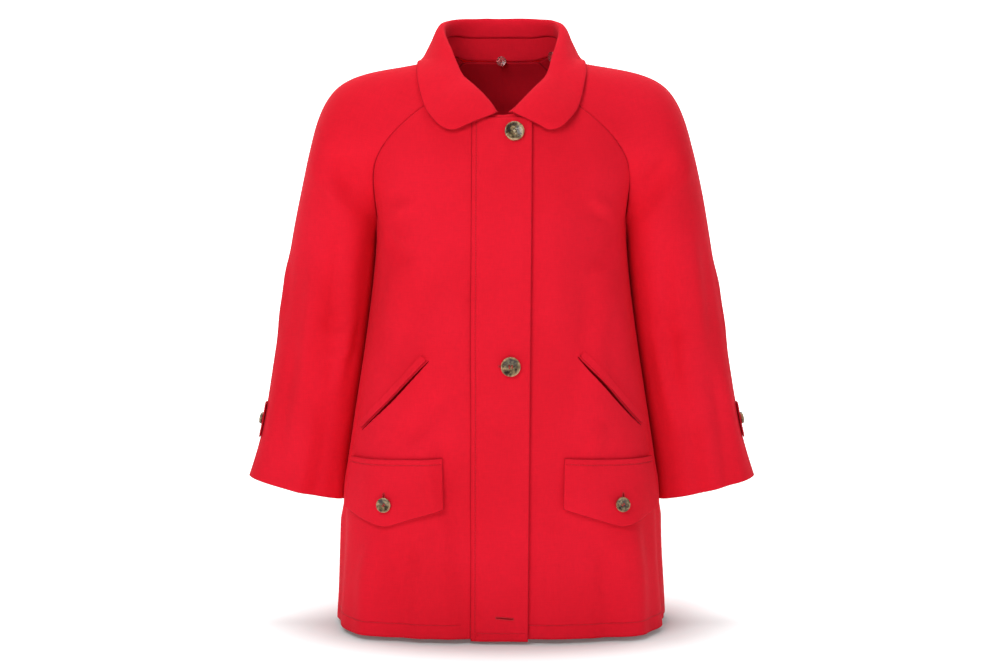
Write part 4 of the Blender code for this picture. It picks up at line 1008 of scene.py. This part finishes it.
def standOn(obj, node, turn, move, inward=False):
    # turns and places a piece made flat at the origin where the node lies
    places, middle, axis, _ = nodeAxis(node)
    out = np.array([middle[0], middle[1], 0.0])
    if axis @ out < 0:
        axis = -axis
    if inward:
        axis = -axis
    level = np.array([0, 0, 1.0]) - axis[2] * axis
    up = level / np.linalg.norm(level)
    right = np.cross(up, axis)
    t = math.radians(turn)
    right2, up2 = right * math.cos(t) + up * math.sin(t), up * math.cos(t) - right * math.sin(t)
    reach = (places - middle) @ axis
    foot = middle + axis * (reach.min() + move)
    v = placesOf(obj)
    setPlaces(obj, foot + v[:, :1] * right2 + v[:, 1:2] * up2 + v[:, 2:] * axis)


def nodeSize(node):
    places, middle, axis, reach = nodeAxis(node)
    flat = (places - middle) - reach[:, None] * axis
    return float(np.linalg.norm(flat, axis=1).max()), float(np.ptp(reach))


buttonPieces = {}
for name, spec in buttons.items():
    radius, high = nodeSize(nodes[name])
    body = buttonBody(name + "_face", radius, high)
    thread = threadBars(name + "_thread", radius, high, spec["thread"])
    middle = placesOf(nodes[name]).mean(0)
    move = 0.0 if spec["on"] == "C" else float(clothMove(middle[None, :], spec["on"])[0])
    # how far out each point of the face lies, for the horn's rim, painted pale as a highlight, and its paler
    # middle
    keepValues(body, "outward", np.linalg.norm(placesOf(body)[:, :2], axis=1) / radius, most=2.0)
    for piece in (body, thread):
        standOn(piece, nodes[name], spec["turn"], move, inward=spec["on"] == "C")
    for face in thread.data.polygons:
        face.use_smooth = True
    buttonPieces[name] = (body, thread)
note("buttons turned and sewn on")


# Materials. Colours are linear.
looks = dict(
    cloth=dict(base=(0.800, 0.0105, 0.029), deep=(0.735, 0.0088, 0.0235), roughness=0.86, sheen=0.10),
    thread=dict(base=(0.700, 0.0110, 0.024), roughness=0.60),
    weavePitch=0.00052,
)


class NodeBench:
    # adds and joins nodes in a material or a group
    def __init__(self, tree):
        self.tree = tree
        self.at = 0

    def add(self, kind, **values):
        made = self.tree.nodes.new(kind)
        made.location = (self.at * 180, -(self.at % 4) * 160)
        self.at += 1
        for name, value in values.items():
            setattr(made, name, value)
        return made

    def join(self, a, b):
        self.tree.links.new(a, b)

    def put(self, socket, value):
        if isinstance(value, bpy.types.NodeSocket):
            self.join(value, socket)
        elif value is not None:
            socket.default_value = value

    def feed(self, made, values):
        for name, value in values.items():
            self.put(made.inputs[name], value)

    def math(self, operation, a, b=None, c=None):
        made = self.add("ShaderNodeMath", operation=operation)
        for socket, value in zip(made.inputs, (a, b, c)):
            self.put(socket, value)
        return made.outputs[0]

    def between(self, value, low, high, outLow=0.0, outHigh=1.0):
        made = self.add("ShaderNodeMapRange", interpolation_type="SMOOTHSTEP")
        self.feed(made, {"Value": value, "From Min": low, "From Max": high, "To Min": outLow,
                         "To Max": outHigh})
        return made.outputs["Result"]

    def noise(self, coord, scale, detail=2.0, rough=0.5):
        made = self.add("ShaderNodeTexNoise")
        self.feed(made, {"Vector": coord, "Scale": scale, "Detail": detail, "Roughness": rough})
        return made.outputs["Fac"]

    def stretch(self, coord, scale):
        made = self.add("ShaderNodeMapping")
        self.feed(made, {"Vector": coord, "Scale": scale})
        return made.outputs["Vector"]

    def mix(self, share, a, b, blend="MIX"):
        made = self.add("ShaderNodeMix", data_type="RGBA", blend_type=blend)
        for i, value in ((0, share), (6, a), (7, b)):
            self.put(made.inputs[i], value)
        return made.outputs[2]

    def attribute(self, name):
        return self.add("ShaderNodeAttribute", attribute_name=name).outputs["Fac"]

    def place(self):
        return self.add("ShaderNodeTexCoord").outputs["Object"]

    def grey(self, value):
        made = self.add("ShaderNodeCombineColor")
        for socket in made.inputs[:3]:
            self.put(socket, value)
        return made.outputs[0]

    def bump(self, height, strength, distance, under=None):
        made = self.add("ShaderNodeBump")
        self.feed(made, {"Height": height, "Strength": strength, "Distance": distance, "Normal": under})
        return made.outputs[0]


def newGroup(name, vector, floats, outs):
    # a vector and some numbers go in, numbers come out
    tree = bpy.data.node_groups.new(name, "ShaderNodeTree")
    tree.interface.new_socket(name=vector, in_out="INPUT", socket_type="NodeSocketVector")
    for way, names in (("INPUT", floats), ("OUTPUT", outs)):
        for socket in names:
            tree.interface.new_socket(name=socket, in_out=way, socket_type="NodeSocketFloat")
    bench = NodeBench(tree)
    return tree, bench, bench.add("NodeGroupInput").outputs, bench.add("NodeGroupOutput").inputs


def weaveGroup():
    # fine threads both ways in the cut's own metres, and the slubs in them
    tree, b, given, out = newGroup("Weave", "Cut", ["Pitch"], ["Height", "Shade"])
    parts = b.add("ShaderNodeSeparateXYZ")
    b.join(given["Cut"], parts.inputs[0])
    turns = b.math("DIVIDE", 2 * math.pi, given["Pitch"])
    u = b.math("MULTIPLY", parts.outputs[0], turns)
    v = b.math("MULTIPLY", parts.outputs[1], turns)
    warp = b.math("SINE", b.math("ADD", u, v))
    weft = b.math("SINE", b.math("MULTIPLY", v, 2.0))
    threads = b.math("MULTIPLY_ADD", weft, 0.35, b.math("MULTIPLY", warp, 0.65))
    slubUp = b.noise(b.stretch(given["Cut"], (900, 70, 1)), 1.0, 3.0, 0.6)
    slubOver = b.noise(b.stretch(given["Cut"], (60, 800, 1)), 1.0, 3.0, 0.6)
    slubs = b.math("ADD", b.math("SUBTRACT", slubUp, 0.5), b.math("SUBTRACT", slubOver, 0.5))
    b.join(b.math("MULTIPLY_ADD", slubs, 0.9, b.math("MULTIPLY", threads, 0.28)), out["Height"])
    b.join(b.math("MULTIPLY_ADD", slubs, 0.16, 1.0), out["Shade"])
    return tree


def dyeGroup():
    # slow unevenness of the dye and small mottling
    tree, b, given, out = newGroup("Dye", "Place", [], ["Share", "Mottle"])
    slow = b.noise(given["Place"], 7.0, 3.0, 0.5)
    small = b.noise(given["Place"], 160.0, 3.0, 0.6)
    b.join(b.between(slow, 0.30, 0.72), out["Share"])
    b.join(b.math("MULTIPLY_ADD", b.math("SUBTRACT", small, 0.5), 0.10, 1.0), out["Mottle"])
    return tree


def seamGroup():
    # rolled edges, the trough that a row of stitches pulls, and the puckers beside it; the Shade it gives is
    # painted shade: a dark line along every edge and a darker stitch trough
    tree, b, given, out = newGroup("Seams", "Place", ["Edge", "Row", "Off"], ["Height", "Shade"])
    rolled = b.between(given["Edge"], 0.0, 0.0028)
    byRow = b.between(given["Row"], 0.0045, 0.0075, 1.0, 0.0)
    trough = b.math("MULTIPLY", b.between(b.math("ABSOLUTE", given["Off"]), 0.0, 0.0016, 1.0, 0.0), byRow)
    beside = b.between(given["Row"], 0.002, 0.012, 1.0, 0.0)
    pucker = b.math("MULTIPLY", b.math("SUBTRACT", b.noise(given["Place"], 150.0, 2.0, 0.5), 0.5), beside)
    edgePucker = b.math("MULTIPLY", b.math("SUBTRACT", b.noise(given["Place"], 95.0, 2.0, 0.5), 0.5),
                        b.between(given["Edge"], 0.001, 0.014, 1.0, 0.0))
    height = b.math("MULTIPLY_ADD", rolled, 0.55, b.math("MULTIPLY", trough, -0.42))
    height = b.math("ADD", height, b.math("MULTIPLY", pucker, 0.85))
    b.join(b.math("MULTIPLY_ADD", edgePucker, 0.55, height), out["Height"])
    # painted shade: darker within 1.1 mm of each edge, and darker in the stitch trough
    shade = b.math("MULTIPLY", b.between(given["Edge"], 0.0, 0.0011, 0.62, 1.0),
                   b.math("MULTIPLY_ADD", trough, -0.16, 1.0))
    b.join(shade, out["Shade"])
    return tree


weave, dye, seams = weaveGroup(), dyeGroup(), seamGroup()


def newMaterial(name):
    material = bpy.data.materials.new(name)
    material.use_nodes = True
    material.node_tree.nodes.clear()
    bench = NodeBench(material.node_tree)
    shader = bench.add("ShaderNodeBsdfPrincipled")
    end = bench.add("ShaderNodeOutputMaterial")
    bench.join(shader.outputs[0], end.inputs[0])
    return material, bench, shader


def useGroup(bench, tree, **values):
    made = bench.add("ShaderNodeGroup", node_tree=tree)
    bench.feed(made, values)
    return made.outputs


def clothMaterial(name, look):
    material, b, shader = newMaterial(name)
    place, cut = b.place(), b.add("ShaderNodeTexCoord").outputs["UV"]
    threads = useGroup(b, weave, Cut=cut, Pitch=looks["weavePitch"])
    colour = useGroup(b, dye, Place=place)
    sewn = useGroup(b, seams, Place=place, Edge=b.attribute("edgeFar"), Row=b.attribute("sewnFar"),
                    Off=b.attribute("sewnOff"))
    red = b.mix(colour["Share"], look["deep"] + (1,), look["base"] + (1,))
    # the seams' Shade is painted shade at the edges and stitch troughs; the threads and mottle are the
    # cloth's own tone
    shade = b.math("MULTIPLY", b.math("MULTIPLY", threads["Shade"], colour["Mottle"]), sewn["Shade"])
    rough = b.math("MULTIPLY_ADD", b.math("SUBTRACT", threads["Shade"], 1.0), 0.9, look["roughness"])
    fine = b.bump(threads["Height"], 0.30, 0.0003)
    b.feed(shader, {"Base Color": b.mix(1.0, red, b.grey(shade), "MULTIPLY"), "Roughness": rough,
                    "Normal": b.bump(sewn["Height"], 0.85, 0.0010, fine),
                    "Sheen Weight": look["sheen"], "Sheen Roughness": 0.45,
                    "Sheen Tint": (1.0, 0.10, 0.16, 1), "Specular IOR Level": 0.08})
    return material


def threadMaterial(name, base, roughness):
    material, b, shader = newMaterial(name)
    twist = b.noise(b.place(), 2600.0, 2.0, 0.5)
    dark = tuple(c * 0.72 for c in base)
    b.feed(shader, {"Base Color": b.mix(b.between(twist, 0.3, 0.7), dark + (1,), base + (1,)),
                    "Normal": b.bump(twist, 0.5, 0.0001),
                    "Roughness": b.between(twist, 0.2, 0.8, roughness - 0.08, roughness + 0.08)})
    return material


def hornMaterial(name):
    # large clouds of dark brown, olive, tan and cream, polished; paler round the rim as a painted highlight,
    # and paler towards the middle
    material, b, shader = newMaterial(name)
    place = b.place()
    push = b.add("ShaderNodeTexNoise")
    b.feed(push, {"Vector": place, "Scale": 160.0})
    bent = b.add("ShaderNodeVectorMath", operation="MULTIPLY_ADD")
    for socket, given in zip(bent.inputs, (push.outputs["Color"], (0.006, 0.006, 0.006), place)):
        b.put(socket, given)
    cloud = b.noise(bent.outputs[0], 185.0, 1.5, 0.5)
    outward = b.attribute("outward")
    # painted highlight: the clouds are pushed paler near the rim; they are also paler towards the middle
    rim, middle = b.between(outward, 0.74, 0.90, 0.0, 0.16), b.between(outward, 0.05, 0.34, 0.06, 0.0)
    cloud = b.math("ADD", b.math("SUBTRACT", cloud, 0.045), b.math("ADD", rim, middle))
    ramp = b.add("ShaderNodeValToRGB")
    stops = [(0.34, (0.018, 0.009, 0.005)), (0.43, (0.075, 0.040, 0.017)), (0.50, (0.135, 0.110, 0.050)),
             (0.57, (0.250, 0.160, 0.075)), (0.68, (0.450, 0.310, 0.165))]
    while len(ramp.color_ramp.elements) < len(stops):
        ramp.color_ramp.elements.new(0.5)
    for element, (at, colour) in zip(ramp.color_ramp.elements, stops):
        element.position = at
        element.color = colour + (1,)
    b.join(cloud, ramp.inputs[0])
    fleck = b.between(b.noise(place, 640.0, 2.0, 0.5), 0.60, 0.70)
    flecked = b.mix(b.math("MULTIPLY", fleck, 0.35), ramp.outputs[0], (0.050, 0.026, 0.012, 1))
    b.feed(shader, {"Base Color": flecked,
                    "Roughness": b.between(b.noise(place, 420.0, 3.0, 0.6), 0.3, 0.7, 0.20, 0.34),
                    "Normal": b.bump(cloud, 0.15, 0.0001), "Coat Weight": 0.25, "Coat Roughness": 0.12})
    return material


def clearMaterial(name):
    # clear plastic, with the red of the cloth seen through it painted into its colour
    material, b, shader = newMaterial(name)
    haze = b.noise(b.place(), 300.0, 3.0, 0.6)
    # painted light: the cloth's red, as seen through the plastic, painted into its base colour
    paintedClothRed = b.mix(b.between(haze, 0.35, 0.7), (0.90, 0.24, 0.26, 1), (0.95, 0.40, 0.40, 1))
    b.feed(shader, {"Base Color": paintedClothRed, "Roughness": b.between(haze, 0.3, 0.7, 0.12, 0.24),
                    "Transmission Weight": 0.85, "IOR": 1.49})
    return material


redCloth = clothMaterial("RedCloth", looks["cloth"])
redThread = threadMaterial("RedThread", looks["thread"]["base"], looks["thread"]["roughness"])
paleThread = threadMaterial("PaleThread", (0.70, 0.55, 0.33), 0.5)
hornPlastic = hornMaterial("HornPlastic")
clearPlastic = clearMaterial("ClearPlastic")


def wears(obj, material):
    obj.data.materials.clear()
    obj.data.materials.append(material)
    for face in obj.data.polygons:
        face.material_index = 0


# Every piece rides on the coat and stands for its node.
for name, obj in sheets.items():
    wears(obj, redCloth)
    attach(obj, "root")
    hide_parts(name)
for piece in stitchPieces:
    wears(piece, redThread)
    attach(piece, "root")
for name, (body, thread) in buttonPieces.items():
    clear = buttons[name]["kind"] == "clear"
    wears(body, clearPlastic if clear else hornPlastic)
    wears(thread, paleThread if buttons[name]["thread"] == "cross" else redThread)
    for piece in (body, thread):
        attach(piece, "root")
    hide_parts(name)
note("materials on")

# The studio: a pale floor that curves up behind and glows as painted light, soft light, and the camera.
studio = dict(floorZ=-0.7345, floorSize=16.0, behind=4.5, high=9.0, curve=2.6, pale=(0.75, 0.80, 0.80),
              lights=[
                  dict(name="keyLight", place=(-0.62, -1.50, 0.74), size=0.9, watts=15.6),
                  dict(name="fillLight", place=(2.4, -3.0, 0.5), size=2.6, watts=15),
                  dict(name="topLight", place=(0.0, 0.45, 2.9), size=1.6, watts=52),
              ], aim=(0.0, 0.0, -0.35), sky=0.19)
# the floor glows, as painted light: little near the coat, which leaves a painted shadow round the hem, more
# round it, and most at the back
paintedGlow = dict(squeeze=(0.72, 1.0, 0.0), near=0.05, round=0.56, fromFar=0.145, toFar=0.27,
            atBack=0.55, fromY=0.5, toY=2.6)
backY, floorZ = studio["behind"], studio["floorZ"]
deselectAll()
bpy.ops.mesh.primitive_plane_add(size=studio["floorSize"],
                                 location=(0, backY - studio["floorSize"] / 2, floorZ))
floor = bpy.context.object
floor.name = "floor"
bpy.ops.object.transform_apply(location=True)
pickVerts(floor, placesOf(floor)[:, 1] > backY - 0.01)
editMode(floor, "EDGE")
bpy.ops.mesh.extrude_region_move(TRANSFORM_OT_translate={"value": (0, 0, studio["high"])})
objectMode()
pickVerts(floor, (placesOf(floor)[:, 1] > backY - 0.01) & (placesOf(floor)[:, 2] < floorZ + 0.01))
editMode(floor, "EDGE")
bpy.ops.mesh.bevel(offset=studio["curve"], segments=24, affect="EDGES")
objectMode()
for face in floor.data.polygons:
    face.use_smooth = True
floorMaterial, bench, shader = newMaterial("PaleFloorPaintedGlow")
grain = bench.noise(bench.place(), 3.0, 3.0, 0.5)
paler = bench.mix(grain, tuple(c * 0.985 for c in studio["pale"]) + (1,), studio["pale"] + (1,))
depth = bench.add("ShaderNodeSeparateXYZ")
bench.join(bench.place(), depth.inputs[0])
away = bench.add("ShaderNodeVectorMath", operation="LENGTH")
bench.join(bench.stretch(bench.place(), paintedGlow["squeeze"]), away.inputs[0])
# painted light and painted shadow: the floor's glow, low by the coat and high round it
paintedGlowByCoat = bench.between(away.outputs["Value"], paintedGlow["fromFar"], paintedGlow["toFar"], paintedGlow["near"], paintedGlow["round"])
atBack = bench.between(depth.outputs[1], paintedGlow["fromY"], paintedGlow["toY"], 0.0, paintedGlow["atBack"])
bench.feed(shader, {"Base Color": paler, "Emission Color": bench.grey(bench.math("ADD", paintedGlowByCoat, atBack)),
                    "Roughness": 0.9, "Specular IOR Level": 0.1, "Emission Strength": 1.0})
wears(floor, floorMaterial)

for spec in studio["lights"]:
    light = bpy.data.lights.new(spec["name"], "AREA")
    light.size, light.energy = spec["size"], spec["watts"]
    lamp = putInScene(spec["name"], light)
    lamp.location = spec["place"]
    way = Vector(studio["aim"]) - Vector(spec["place"])
    lamp.rotation_euler = way.to_track_quat("-Z", "Y").to_euler()
world = bpy.data.worlds.new("studio")
bpy.context.scene.world = world
world.use_nodes = True
world.node_tree.nodes["Background"].inputs[0].default_value = (1.0, 0.985, 0.985, 1)
world.node_tree.nodes["Background"].inputs[1].default_value = studio["sky"]

view = dict(place=(0.00325, -3.3, 0.0), down=6.2, lens=90.64)
cameraData = bpy.data.cameras.new("camera")
cameraData.sensor_width, cameraData.lens = 36.0, view["lens"]
camera = putInScene("camera", cameraData)
camera.location = view["place"]
camera.rotation_euler = (math.radians(90 - view["down"]), 0, 0)
bpy.context.scene.camera = camera
bpy.context.scene.view_settings.view_transform = "Standard"
note("studio set")
